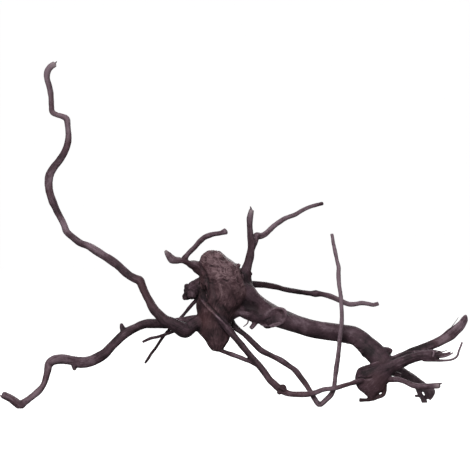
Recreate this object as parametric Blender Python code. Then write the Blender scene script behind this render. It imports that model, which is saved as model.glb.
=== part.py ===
# A branching spiderwood root, grown as one piece of wood: a gnarled burl, long crooked limbs,
# a thick root that ends in a torn, splayed stump, and thin roots that carry it.
# Metres, +Z up. X runs along the root, Y from front to back.
# The origin is the middle of the box round the root, at the height that it stands on.

import math

import bmesh
import bpy
from mathutils import Vector
from mathutils.noise import noise

MM = 0.001

# Driving dimensions, in millimetres
SIGHT_DISTANCE = 4000.0   # the limbs are laid out as seen from here, so a far one is drawn smaller
EYE_HEIGHT = 171.0        # height of that eye above the ground
BODY_DEPTH = 44.0         # front to back through the burl at its thickest
FAN_DEPTH = 20.0          # front to back through the splayed stump
STEP = 3.0                # ring spacing along a limb, in limb radii
LEAST_STEP = 4.5          # but never closer than this
MOST_STEP = 9.0           # nor further apart than this
FEWEST_SIDES = 5          # sides of the thinnest twig
MOST_SIDES = 14           # sides of the thick root
SIDES_START = 4.4         # a limb's sides before its thickness adds to them
SIDES_PER_RADIUS = 0.85   # added for each millimetre of its mean radius
LUMP_FINENESS = 2         # subdivisions of a lump
BURL_SIDES = 22
FAN_SIDES = 16
OVAL = 0.09               # how far a limb is from round
TWIST = 0.045             # how its oval turns, in radians per millimetre
TIP_LENGTH = 0.35         # how far a limb's end stands out, in radii
STACK_TIP = 1.0           # the same for the burl and the fan
BURL_RIPPLE = 0.075       # unevenness of the burl, as a share of its radius
RIPPLE_SIZE = 9.0         # distance between its ripples

WOOD_COLOUR = (0.084, 0.058, 0.060, 1.0)
WOOD_ROUGHNESS = 0.75

# Limbs: points (across, up, back, radius) along the middle, from the thick end to the tip.
# Back is positive away from the front.
LIMBS = {
    "tall_branch": [
        (-33, 84, -4, 9), (-42, 80.6, -9, 7.3), (-49.2, 75.6, -12, 8.1), (-56, 78.6, -14, 7.7),
        (-63, 82.5, -16, 6.9), (-70, 85.7, -17, 6.1), (-75.5, 90.7, -17, 5.3), (-80.5, 96.2, -16, 5),
        (-86.2, 106, -14, 4), (-91, 115, -12, 3.8), (-93.3, 121, -11, 4), (-95.5, 125.6, -10, 4.4),
        (-100, 127.5, -9, 4.2), (-106, 131, -7, 4), (-115, 138.6, -4, 3.9), (-120, 142.8, -2, 4.2),
        (-130, 149.4, 2, 3.9), (-140, 156, 6, 4.3), (-147, 160.3, 9, 3.8), (-155, 163.4, 11, 3.6),
        (-163, 169.6, 14, 3.5), (-168.3, 174.6, 16, 3.6), (-170.8, 181, 18, 3.4), (-178.6, 196, 23, 3.5),
        (-183, 206, 26, 3.6), (-185.7, 216, 29, 3.6), (-186.4, 224, 31, 3.8), (-185.2, 231, 33, 3.8),
        (-181.6, 237.6, 35, 3.6), (-174.7, 246.8, 38, 3.5), (-170.2, 255, 40, 3.4), (-167.2, 264, 42, 3.5),
        (-166.6, 272, 42, 3.2), (-167.5, 282, 42, 3.1), (-168.4, 287.4, 42, 3.2), (-173, 289.8, 43, 2.9),
        (-178.6, 291.4, 44, 2.6), (-182.6, 294, 44, 3), (-183.7, 301, 43, 2.8), (-184.2, 311, 41, 2.9),
        (-185.9, 320, 39, 2.8), (-188, 328, 38, 2.6), (-187.8, 333.6, 37, 2.9),
        (-184.6, 339, 36, 3), (-180.2, 342, 35, 2.9),
    ],
    "left_branch": [
        (-33, 84, 4, 8), (-44, 83, 8, 6.8), (-55, 82.6, 11, 5.5), (-67, 82.4, 12, 5),
        (-80, 82.7, 12, 4.9), (-90, 82.2, 11, 4.7), (-100, 78, 9, 4.6), (-110, 72.5, 6, 5),
        (-116, 67, 4, 4.7), (-125, 57.7, -1, 4.6), (-130.5, 52, -4, 5), (-136, 48.7, -6, 5.2),
        (-145, 45, -11, 5.1), (-155, 43.6, -16, 5.3), (-165, 45.7, -21, 4.4), (-175, 46.7, -27, 4.6),
        (-182, 45.2, -31, 4.6), (-186.2, 41.5, -33, 4.2), (-187.2, 36, -37, 3.8), (-188.6, 30, -40, 3.5),
        (-191.7, 21, -45, 3.3), (-196, 15.5, -48, 3.4), (-205, 7.9, -53, 3.4), (-210.4, 3.7, -56, 3.8),
        (-215, 0.9, -57, 4.6), (-220, 4.3, -59, 4.2), (-225, 8, -60, 3.7), (-232, 11.2, -61, 3.4),
    ],
    "thorn": [(-110.5, 74, 6, 3.4), (-112, 78, 6, 1.8), (-113.6, 82, 6, 0.8)],
    "left_stub": [(-161, 44, -19, 4), (-160.6, 40, -18, 2.6), (-160.4, 36.6, -17, 1.1)],
    "long_twig": [
        (-32, 112, 8, 3), (-40, 104.5, 12, 1.7), (-45, 99, 16, 1.6), (-50, 93, 20, 1.6),
        (-59, 83, 26, 1.6), (-66.5, 75.5, 30, 1.6), (-72, 69, 34, 1.5), (-77, 61.5, 39, 1.5),
        (-80, 57, 41, 1.4), (-84, 52, 44, 1.4), (-86.4, 48, 46, 1.4), (-90, 43, 49, 1.1),
    ],
    "short_twig": [
        (-50, 77, -5, 2.6), (-57, 75.6, -4, 1.7), (-62, 74.3, 0, 1.5), (-67, 72.5, 5, 1.4),
        (-78, 69, 14, 1.3), (-84, 67.8, 18, 1.3), (-92.2, 64.2, 24, 1.1),
    ],
    "back_knob": [
        (-30, 121, 4, 9), (-38.6, 117.2, 11, 8.8), (-43.6, 113.6, 15, 8.6), (-46.2, 110.8, 17, 6),
    ],
    "horn": [
        (-25, 132, -4, 9), (-32, 136.6, -8, 8), (-36.8, 138.6, -10, 6.5), (-40.4, 140.6, -13, 5.2),
        (-45, 141.8, -17, 3.9), (-49, 143.8, -20, 3.2), (-55, 145.7, -23, 3.1), (-59, 146, -25, 3.5),
        (-63.2, 147.2, -27, 4.4), (-66.6, 151, -29, 3.1), (-69.6, 155, -31, 1.3),
    ],
    "whip": [
        (-51.6, 143.8, -18, 4.4), (-50, 147.8, -18, 3.5), (-46.8, 152.2, -20, 2.8),
        (-39.6, 159.6, -22, 2.6), (-34.6, 165.2, -23, 2.7), (-29.4, 169.2, -25, 2.6),
        (-21.8, 171.8, -28, 2.4), (-14, 173, -31, 2.3), (-9.2, 174.7, -33, 3.1),
    ],
    "antler": [
        (4, 112, 0, 11), (8, 122, 0, 9), (9.8, 129, -1, 6), (10.9, 135, -2, 4.8),
        (12.9, 141, -3, 4.1), (15.4, 151, -4, 3.9), (16.6, 161, -6, 3.8), (15.8, 167, -7, 3.3),
        (15, 173, -8, 3.1), (14.6, 181, -11, 3.1), (14.9, 187, -13, 3.3), (15.8, 192, -14, 3.1),
        (16.8, 196, -15, 2.7),
    ],
    "antler_side": [
        (16.6, 156, -5, 3.6), (19.6, 164.6, -1, 3.6), (21.4, 169.6, 2, 3.6), (26, 170, 6, 2.7),
        (30.2, 172, 9, 2.5), (40, 181, 15, 2.4), (50, 187.6, 21, 2.2), (60, 191.3, 26, 2),
        (68, 195.9, 31, 2.1), (75, 199.1, 35, 2), (87.4, 202.6, 43, 1.9),
    ],
    "right_branch": [
        (2, 120, 8, 6), (12, 121.4, 15, 3.8), (21, 121.5, 20, 3.1), (30, 121, 26, 3),
        (42, 119, 34, 3.1), (48, 117.1, 37, 2.7), (58, 115.2, 42, 2.6), (75, 112.6, 51, 2.7),
        (80.6, 112.3, 53, 4.1), (86.4, 111.8, 55, 2.4), (93, 110.4, 57, 2.4), (104, 106, 60, 2.4),
        (111, 102.8, 62, 2.3), (115.5, 101.6, 63, 2.2), (121, 102, 64, 2.1), (127, 103, 66, 2),
        (133, 102.2, 67, 1.9), (138.6, 101.2, 69, 1.9), (143.4, 102.4, 70, 1.8),
    ],
    "thick_root": [
        (-6, 112, 0, 16.6), (8, 107, 1, 13.8), (18, 102, 2, 11.8), (27, 97, 3, 10.8),
        (40, 90, 5, 10.5), (55, 84, 6, 10), (63, 81, 7, 9.6), (72.3, 78.1, 8, 9.4),
        (82, 76.2, 9, 9.1), (91.6, 75, 9, 8.8), (102.8, 73.6, 9, 8.5), (108.2, 72.6, 9, 8.5),
        (117.1, 70.8, 8, 8.5), (124.3, 67, 7, 8.4), (131.8, 60.2, 6, 9.2), (138.2, 54.7, 5, 9.6),
        (142.8, 50.4, 4, 10), (149, 43, 2, 9.8), (148, 32, 0, 8),
    ],
    "shoulder": [(3, 124, -2, 9), (10, 116, -4, 9.4), (17, 108, -4, 8.2), (26, 100, -1, 9)],
    "broken_stub": [(26, 89, 0, 5), (22, 85.2, -4, 3.1), (18.8, 81.2, -7, 2.3), (16, 78, -9, 2)],
    "under_bump": [(36, 89, 0, 8), (31.8, 82.8, 1, 7), (29.6, 80.2, 0, 3.8)],
    "arch_rim": [
        (-9, 88, -4, 6.4), (-2, 91.8, -8, 5.2), (5, 93.4, -10, 3.9), (13, 91.2, -9, 5),
        (20, 88.8, -6, 5.4), (28, 90, -2, 7),
    ],
    "torn_collar": [
        (32.4, 78.6, -3, 1.5), (26.8, 81.8, -4.6, 1.6), (29, 88.4, -7.6, 1.4), (34, 94.2, -6.8, 1.4),
        (42.6, 97.6, -4, 1.6), (49.4, 95.6, -2.6, 1.8), (50.8, 89.8, -4.4, 1.5), (47.4, 83.4, -5.4, 1.4),
        (41, 80.8, -5.2, 1.4), (35.4, 79.4, -4.4, 1.4),
    ],
    "fan_nub": [(146, 50, 4, 9.2), (150.6, 54.2, 5, 5.2), (154.6, 54.9, 6, 3.2), (156.6, 54.2, 6, 2.1)],
    "fan_wing": [
        (144, 37, 0, 10), (152, 41, 0, 8), (160, 44.8, 0, 6.2), (170, 50, 2, 5.6),
        (180, 54.8, 4, 5.1), (190, 58.6, 6, 4.9), (200, 62.4, 8, 5), (208, 66.4, 11, 5.3),
        (215.3, 71.4, 13, 5.8), (221.4, 76.4, 15, 5.1), (226.5, 81.6, 17, 4.2), (229.5, 86.8, 19, 3.2),
        (230.8, 90.2, 20, 2),
    ],
    "fan_finger": [
        (148, 35, -4, 9), (157, 39.3, -6, 6.9), (165, 43, -8, 5.8), (175, 47, -10, 5.2),
        (185, 49.7, -13, 4.9), (196, 50.8, -16, 4.7), (201.4, 50.6, -18, 3.8),
    ],
    "splinter_high": [
        (195, 52.4, -16, 2.2), (204, 52.2, -19, 1.5), (210, 52, -20, 1), (215.4, 53.8, -21, 0.6),
    ],
    "splinter_mid": [
        (196, 49.6, -17, 2.4), (205, 49.4, -20, 1.6), (212, 50.3, -22, 1), (218.4, 53.4, -24, 0.7),
    ],
    "long_fibre": [
        (188, 46.5, -14, 2.3), (199, 45.6, -17, 1.4), (210, 45.5, -20, 1.1), (216.4, 46.4, -21, 1),
        (221.8, 49.4, -22, 0.9), (224.2, 56, -24, 0.9), (227.4, 64, -25, 0.8),
    ],
    "fan_fibre": [
        (124.4, 5.9, -6, 1.9), (131, 6, -5, 1.4), (137, 6.8, -4, 1.7), (142.4, 8.8, -4, 1.6),
        (147.8, 11, -4, 1.8), (149.4, 15, -4, 2), (149, 20, -4, 3),
    ],
    "claw": [
        (152, 41, 8, 8), (162, 36.2, 18, 6), (170, 31.4, 31, 5.2), (178, 26.2, 45, 4.7),
        (184.6, 21.8, 57, 4.4), (189.6, 18.2, 66, 4), (192, 14, 72, 3.4), (192.8, 9.5, 76, 2.4),
    ],
    "claw_foot": [
        (179.4, 23.2, 50, 3), (182.9, 17, 61, 2.2), (185.5, 11.5, 70, 2.1), (187.8, 7.8, 76, 2.3),
        (189.4, 4.8, 80, 2.5), (189.6, 3.8, 81, 2.5),
    ],
    "claw_link": [(187.6, 8.2, 76, 1.7), (190.4, 7.8, 77, 1.6), (193.4, 8.6, 76, 1.6)],
    "claw_edge": [(191, 19.6, 63, 2.8), (198, 15.2, 69, 2.1), (197.6, 11.4, 73, 1.9), (194.6, 7.2, 76, 2)],
    "claw_spur": [(186.6, 10.6, 71, 1.3), (180, 10, 73, 1)],
    "front_root": [
        (-30, 107, -15, 4), (-20, 94, -18, 4.4), (-12, 84, -18, 4.5), (-5.2, 75, -19, 4),
        (2.1, 66.3, -20, 3.4), (10.6, 56.2, -22, 3.3), (18.6, 46.6, -25, 3.4), (24.6, 39.8, -26, 3.4),
        (30.8, 31.6, -29, 3.3), (34.6, 26.2, -30, 3.5), (39.6, 21.6, -31, 3.7), (44, 17.6, -31.5, 4.4),
        (48.4, 14.6, -31, 3.9), (54, 12.5, -31, 2.9), (61, 11.8, -30, 2.7), (73, 12, -29, 2.7),
        (81, 13.6, -29, 2.4), (89, 16.5, -28, 2.5), (100, 17.9, -26, 2.5), (110, 20.8, -22, 2.4),
        (117, 22.9, -17.5, 2.4), (123, 24.8, -13, 2.6), (130, 25.6, -9, 2.8), (140, 26.4, -6, 3),
        (151, 26.6, -5, 3), (157, 26.4, -8, 2.9), (163, 26.4, -11, 2.5), (170, 24.3, -14, 2.2),
        (178, 20.7, -16, 2.4), (186, 19.8, -18, 2.5), (195, 20.1, -21, 2.6), (204.4, 20.5, -24, 2.6),
    ],
    "side_root": [
        (-19, 57.4, -8, 3.2), (-12, 54.7, -10, 2.2), (-2, 51.2, -15, 2.3), (8, 47.4, -20, 2.2),
        (18, 43, -24, 2.4), (25, 38.6, -26.5, 2.2),
    ],
    "loop_root": [
        (-10, 94, 5, 6), (-1.8, 80.8, 8, 3.4), (3, 76.4, 6, 2.9), (9.2, 71.8, 4, 2.9), (19.6, 61.9, -1, 3.1),
        (26.4, 55.8, -5, 3.2), (35, 51.2, -8, 2.7), (45, 46, -11, 2.6), (55, 39.5, -13, 2.5),
        (60.6, 35.2, -14, 2.6), (65, 29.5, -15.5, 2.5), (71.4, 21, -17.5, 2.4), (76, 13.8, -18.5, 2.4),
        (79.8, 7, -19.5, 2.6), (84.6, 1.3, -20, 2.7), (90.6, 5.8, -20, 2.8), (96.2, 11.4, -19.5, 2.9),
        (98.8, 17, -19, 2.7), (99.8, 24, -18, 2.5), (100.9, 34, -16, 2.4), (102.5, 46, -14, 2.3),
        (104, 58, -12.6, 2.2), (105, 70, -12.6, 2.2), (106.8, 84, -12, 2.1), (106.8, 94, -12, 1.9),
        (105.6, 111, -11, 1.8), (104.1, 121, -10, 1.8), (103.5, 131, -9, 1.9), (103.7, 138, -8, 1.9),
        (101.9, 146, -7, 1.9), (98.6, 162, -5, 1.8), (96.8, 172, -4, 1.7),
    ],
}

# Limbs that are wider than they are thick: thickness front to back as a share of the width
FLAT = {"fan_wing": 0.6, "fan_finger": 0.8, "horn": 0.75}

# The burl, from its crown to the wedge of its foot: (across, up, back, half width, half depth)
BODY = [
    (-21.8, 155, -6, 5.8, 5), (-21.8, 151.4, -5.5, 10.5, 11), (-19.6, 146.6, -5, 14.9, 16),
    (-16.8, 142.2, -5, 18.2, 18.6), (-15, 139, -5, 20, 19.8), (-14.2, 129, -5, 21.4, 21.5),
    (-11, 116, -4, 24.3, 22), (-14, 104, -4, 23.8, 21), (-17.4, 94, -4, 20.4, 19),
    (-20.5, 84, -4, 16.8, 16), (-20.6, 74, -5, 16, 13), (-18.2, 66, -6, 12.3, 10),
    (-18.3, 59, -7, 7.9, 7), (-18, 54.8, -8, 4.6, 4),
]
# Lumps of the burl and knots on the roots: (across, up, back, radius)
LUMPS = [
    (-28.6, 144.6, -12, 6.4), (-18, 145.6, -12, 8), (-7.4, 137, -14.5, 8.5), (-20, 132, -16.5, 9.5),
    (-6, 125, -15.5, 10), (-26, 122, -14, 9), (1, 138.6, -8, 3.6), (4.6, 141.2, -8, 1.8),
    (-12, 141, 7, 9), (-24, 130, 9, 9.5), (0, 121, 10, 10), (15.8, 132.2, -1, 1.7),
    (-48.2, 119.6, 14, 2.8), (-48.6, 109.8, 15, 4.2), (-43, 112, 7, 5.5), (-41, 120, 8, 5),
    (48.6, 17.2, -31.5, 3.5), (44.6, 14.8, -31.5, 2.9), (130.4, 53, 4, 4.4),
]
# The splayed stump, from the top down
FAN = [
    (159, 47, 0, 6.6, 4), (152, 42.4, -2, 15, 8), (142.6, 38, -3, 18.8, 10), (139.7, 33.4, -4, 18.6, 10),
    (137.8, 27, -4, 17.8, 9.5), (136.4, 21, -4, 15.4, 8.5), (136.8, 15.5, -4, 12.4, 6.5),
    (136.4, 12.6, -4, 7.8, 5), (136.2, 9.6, -4, 4.2, 3.6), (136, 6.4, -4, 2.2, 2),
]
# Hollows: (across, up, back, half width, half depth, half height)
HOLLOWS = [
    (15.6, 99.4, -16, 10.5, 9, 6),   # the dark pocket between the burl and the thick root
    (40, 89.4, -9, 8.6, 5.2, 6),     # inside the torn collar
]
GROUND_BLOCK = (600.0, 300.0, 40.0)   # cut off below, which leaves three small flat spots


def place(across, up, back):
    """A point as it is drawn, moved to its true place at its depth."""
    spread = 1.0 + back / SIGHT_DISTANCE
    return Vector((across * spread, back, EYE_HEIGHT + (up - EYE_HEIGHT) * spread))


def between(p0, p1, p2, p3, share):
    """Centripetal Catmull-Rom point between p1 and p2."""
    knots = [0.0]
    for start, end in ((p0, p1), (p1, p2), (p2, p3)):
        knots.append(knots[-1] + max((end - start).length, 1e-6) ** 0.5)
    t0, t1, t2, t3 = knots
    t = t1 + (t2 - t1) * share
    a1 = p0.lerp(p1, (t - t0) / (t1 - t0))
    a2 = p1.lerp(p2, (t - t1) / (t2 - t1))
    a3 = p2.lerp(p3, (t - t2) / (t3 - t2))
    b1 = a1.lerp(a2, (t - t0) / (t2 - t0))
    b2 = a2.lerp(a3, (t - t1) / (t3 - t1))
    return b1.lerp(b2, (t - t1) / (t2 - t1))


def smooth_rings(points):
    """(centre, radius) along the smooth curve through a limb's points."""
    centres = [place(*p[:3]) for p in points]
    radii = [p[3] for p in points]
    ends = [centres[0] * 2 - centres[1]] + centres + [centres[-1] * 2 - centres[-2]]
    rings = []
    for i in range(len(points) - 1):
        step = min(max(STEP * radii[i], LEAST_STEP), MOST_STEP)
        count = max(1, round((centres[i + 1] - centres[i]).length / step))
        for k in range(count):
            share = k / count
            centre = between(*ends[i:i + 4], share)
            rings.append((centre, radii[i] + (radii[i + 1] - radii[i]) * share))
    rings.append((centres[-1], radii[-1]))
    return rings


def closed_mesh(name, loops, first, last):
    """A closed mesh through loops of points, with a tip at each end."""
    bm = bmesh.new()
    rows = [[bm.verts.new(p) for p in loop] for loop in loops]
    sides = len(rows[0])
    for lower, upper in zip(rows, rows[1:]):
        for k in range(sides):
            m = (k + 1) % sides
            bm.faces.new((lower[k], lower[m], upper[m], upper[k]))
    start = bm.verts.new(first)
    end = bm.verts.new(last)
    for k in range(sides):
        m = (k + 1) % sides
        bm.faces.new((start, rows[0][m], rows[0][k]))
        bm.faces.new((end, rows[-1][k], rows[-1][m]))
    bmesh.ops.recalc_face_normals(bm, faces=bm.faces)
    bmesh.ops.triangulate(bm, faces=bm.faces)
    bmesh.ops.scale(bm, vec=(MM, MM, MM), verts=bm.verts)
    mesh = bpy.data.meshes.new(name)
    bm.to_mesh(mesh)
    bm.free()
    return mesh


def end_tip(ring, neighbour):
    """The middle of a limb's blunt end."""
    outward = (ring[0] - neighbour[0]).normalized()
    return ring[0] + outward * ring[1] * TIP_LENGTH


def limb_mesh(name, points, flatness):
    """A crooked tube with an uneven, slowly turning section."""
    rings = smooth_rings(points)
    mean = sum(radius for _, radius in rings) / len(rings)
    sides = round(SIDES_START + SIDES_PER_RADIUS * mean)
    sides = max(FEWEST_SIDES, min(sides, MOST_SIDES))
    phase = sum(map(ord, name)) % 7
    run = 0.0
    side = None
    loops = []
    for i, (centre, radius) in enumerate(rings):
        before = rings[max(i - 1, 0)][0]
        after = rings[min(i + 1, len(rings) - 1)][0]
        along = (after - before).normalized()
        if side is None:
            side = along.orthogonal().normalized()
        side = (side - along * side.dot(along)).normalized()
        other = along.cross(side)
        run += (centre - before).length
        loop = []
        for k in range(sides):
            angle = 2 * math.pi * k / sides
            uneven = 1 + OVAL * math.sin(2 * angle + phase + TWIST * run)
            uneven += 0.5 * OVAL * math.sin(3 * angle - phase - 2 * TWIST * run)
            offset = (side * math.cos(angle) + other * math.sin(angle)) * radius * uneven
            offset.y *= flatness
            loop.append(centre + offset)
        loops.append(loop)
    first = end_tip(rings[0], rings[1])
    last = end_tip(rings[-1], rings[-2])
    return closed_mesh(name, loops, first, last)


def stack_mesh(name, sections, depth, ripple, sides):
    """A rippled body through level oval sections; depth is its greatest thickness."""
    thickest = max(section[4] for section in sections)
    scale = depth / (2 * thickest)
    loops = []
    for across, up, back, half_width, half_depth in sections:
        loop = []
        for k in range(sides):
            angle = 2 * math.pi * k / sides
            point = place(across + half_width * math.cos(angle), up, back)
            point.y += half_depth * scale * math.sin(angle)
            swell = 1 + ripple * noise(point / RIPPLE_SIZE)
            middle = place(across, up, back)
            loop.append(middle + (point - middle) * swell)
        loops.append(loop)
    first = place(*sections[0][:3]) + Vector((0, 0, STACK_TIP))
    last = place(*sections[-1][:3]) - Vector((0, 0, STACK_TIP))
    return closed_mesh(name, loops, first, last)


def ball_mesh(name, across, up, back, half_width, half_depth, half_height):
    """An egg-shaped lump."""
    bm = bmesh.new()
    bmesh.ops.create_icosphere(bm, subdivisions=LUMP_FINENESS, radius=1.0)
    bmesh.ops.scale(bm, vec=(half_width * MM, half_depth * MM, half_height * MM), verts=bm.verts)
    bmesh.ops.translate(bm, vec=place(across, up, back) * MM, verts=bm.verts)
    mesh = bpy.data.meshes.new(name)
    bm.to_mesh(mesh)
    bm.free()
    return mesh


def ground_mesh():
    """A block whose top is the ground."""
    bm = bmesh.new()
    bmesh.ops.create_cube(bm, size=1.0)
    bmesh.ops.scale(bm, vec=Vector(GROUND_BLOCK) * MM, verts=bm.verts)
    bmesh.ops.translate(bm, vec=(0, 0, -GROUND_BLOCK[2] / 2 * MM), verts=bm.verts)
    mesh = bpy.data.meshes.new("ground")
    bm.to_mesh(mesh)
    bm.free()
    return mesh


def wood_material():
    material = bpy.data.materials.new("wood")
    material.use_nodes = True
    shader = material.node_tree.nodes["Principled BSDF"]
    shader.inputs["Base Color"].default_value = WOOD_COLOUR
    shader.inputs["Roughness"].default_value = WOOD_ROUGHNESS
    shader.inputs["Metallic"].default_value = 0.0
    return material


def apply_modifiers(piece):
    """Bakes the object's modifiers into its mesh."""
    graph = bpy.context.evaluated_depsgraph_get()
    mesh = bpy.data.meshes.new_from_object(piece.evaluated_get(graph))
    piece.modifiers.clear()
    piece.data = mesh


def combine(piece, meshes, operation):
    """Unites the piece with the meshes, or cuts them out of it."""
    group = bpy.data.collections.new("operands")
    bpy.context.scene.collection.children.link(group)
    for mesh in meshes:
        group.objects.link(bpy.data.objects.new(mesh.name, mesh))
    boolean = piece.modifiers.new("combine", "BOOLEAN")
    boolean.operation = operation
    boolean.operand_type = "COLLECTION"
    boolean.collection = group
    boolean.solver = "EXACT"
    boolean.use_self = True
    apply_modifiers(piece)
    for operand in list(group.objects):
        bpy.data.objects.remove(operand)
    bpy.data.collections.remove(group)


def centre_on_ground(piece):
    """Puts the origin at the middle of the box, at its lowest height."""
    corners = [v.co for v in piece.data.vertices]
    middle_x = (min(c.x for c in corners) + max(c.x for c in corners)) / 2
    middle_y = (min(c.y for c in corners) + max(c.y for c in corners)) / 2
    lowest = min(c.z for c in corners)
    for vertex in piece.data.vertices:
        vertex.co -= Vector((middle_x, middle_y, lowest))


def build_root():
    body = stack_mesh("burl", BODY, BODY_DEPTH, BURL_RIPPLE, BURL_SIDES)
    root = bpy.data.objects.new("spiderwood_root", body)
    bpy.context.scene.collection.objects.link(root)
    grown = [stack_mesh("fan", FAN, FAN_DEPTH, 0.0, FAN_SIDES)]
    grown += [limb_mesh(name, points, FLAT.get(name, 1.0)) for name, points in LIMBS.items()]
    grown += [ball_mesh("lump", *lump, lump[3], lump[3]) for lump in LUMPS]
    combine(root, grown, "UNION")
    hollows = [ball_mesh("hollow", *hollow) for hollow in HOLLOWS]
    combine(root, hollows + [ground_mesh()], "DIFFERENCE")
    centre_on_ground(root)
    root.data.materials.clear()
    root.data.materials.append(wood_material())
    root.data.shade_smooth()


for leftover in list(bpy.data.objects):
    bpy.data.objects.remove(leftover)
build_root()
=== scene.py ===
# The look of the spiderwood root: its fine surface, wood, torn fibres, light and camera.
# Lengths are in millimetres until a mesh is made. X runs along the root, Y back, Z up.
import math

import bmesh
import bpy
import numpy as np
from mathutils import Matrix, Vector
from mathutils.noise import noise


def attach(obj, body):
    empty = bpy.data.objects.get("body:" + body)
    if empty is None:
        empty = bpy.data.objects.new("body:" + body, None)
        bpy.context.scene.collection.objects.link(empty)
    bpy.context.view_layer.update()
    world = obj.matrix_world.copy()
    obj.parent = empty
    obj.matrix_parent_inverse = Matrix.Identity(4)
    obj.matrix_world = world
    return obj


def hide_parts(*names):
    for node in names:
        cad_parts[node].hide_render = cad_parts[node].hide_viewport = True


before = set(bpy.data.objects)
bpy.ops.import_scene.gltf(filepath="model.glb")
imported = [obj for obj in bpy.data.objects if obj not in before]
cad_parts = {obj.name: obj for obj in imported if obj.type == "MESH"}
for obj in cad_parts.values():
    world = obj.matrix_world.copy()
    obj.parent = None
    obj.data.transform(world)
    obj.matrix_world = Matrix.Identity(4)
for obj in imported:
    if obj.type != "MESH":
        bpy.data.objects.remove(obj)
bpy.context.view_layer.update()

MM = 0.001
NODE = "spiderwood_root"

# The sketch: the limbs are drawn as seen from this far off and this high, so a far one is drawn smaller
SIGHT_DISTANCE = 4000.0
EYE_HEIGHT = 171.0
SKETCH_MIDDLE = (1.98, 9.12)   # middle of the box round the root, across and back
PHOTO_WIDTH = 470.0            # millimetres across the picture at mid depth
SENSOR = 36.0

# Plain shape of the limbs, as in the solid
BODY_DEPTH = 44.0
FAN_DEPTH = 20.0
OVAL = 0.09
TWIST = 0.045
BURL_RIPPLE = 0.075
RIPPLE_SIZE = 9.0
TIP_LENGTH = 0.35
FLAT = {"fan_wing": 0.6, "fan_finger": 0.8, "horn": 0.75}

# Fineness of the mesh
SAMPLE = 0.8            # distance between samples along a limb
VOXEL = 0.6             # cell of the remesh that fuses the limbs
MOST_TRIANGLES = 188000
FACET = 1.4 * SAMPLE    # longest step round a limb
THIN_EXTRA = 0.35       # added to the thinnest limbs, for what smoothing takes from them
STURDY = 4.0            # radius from which a limb gets nothing extra
# Rings of a blunt tip: (share of the tip's length, share of the last radius)
BLUNT_TIP = ((0.35, 0.92), (0.75, 0.66))

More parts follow.
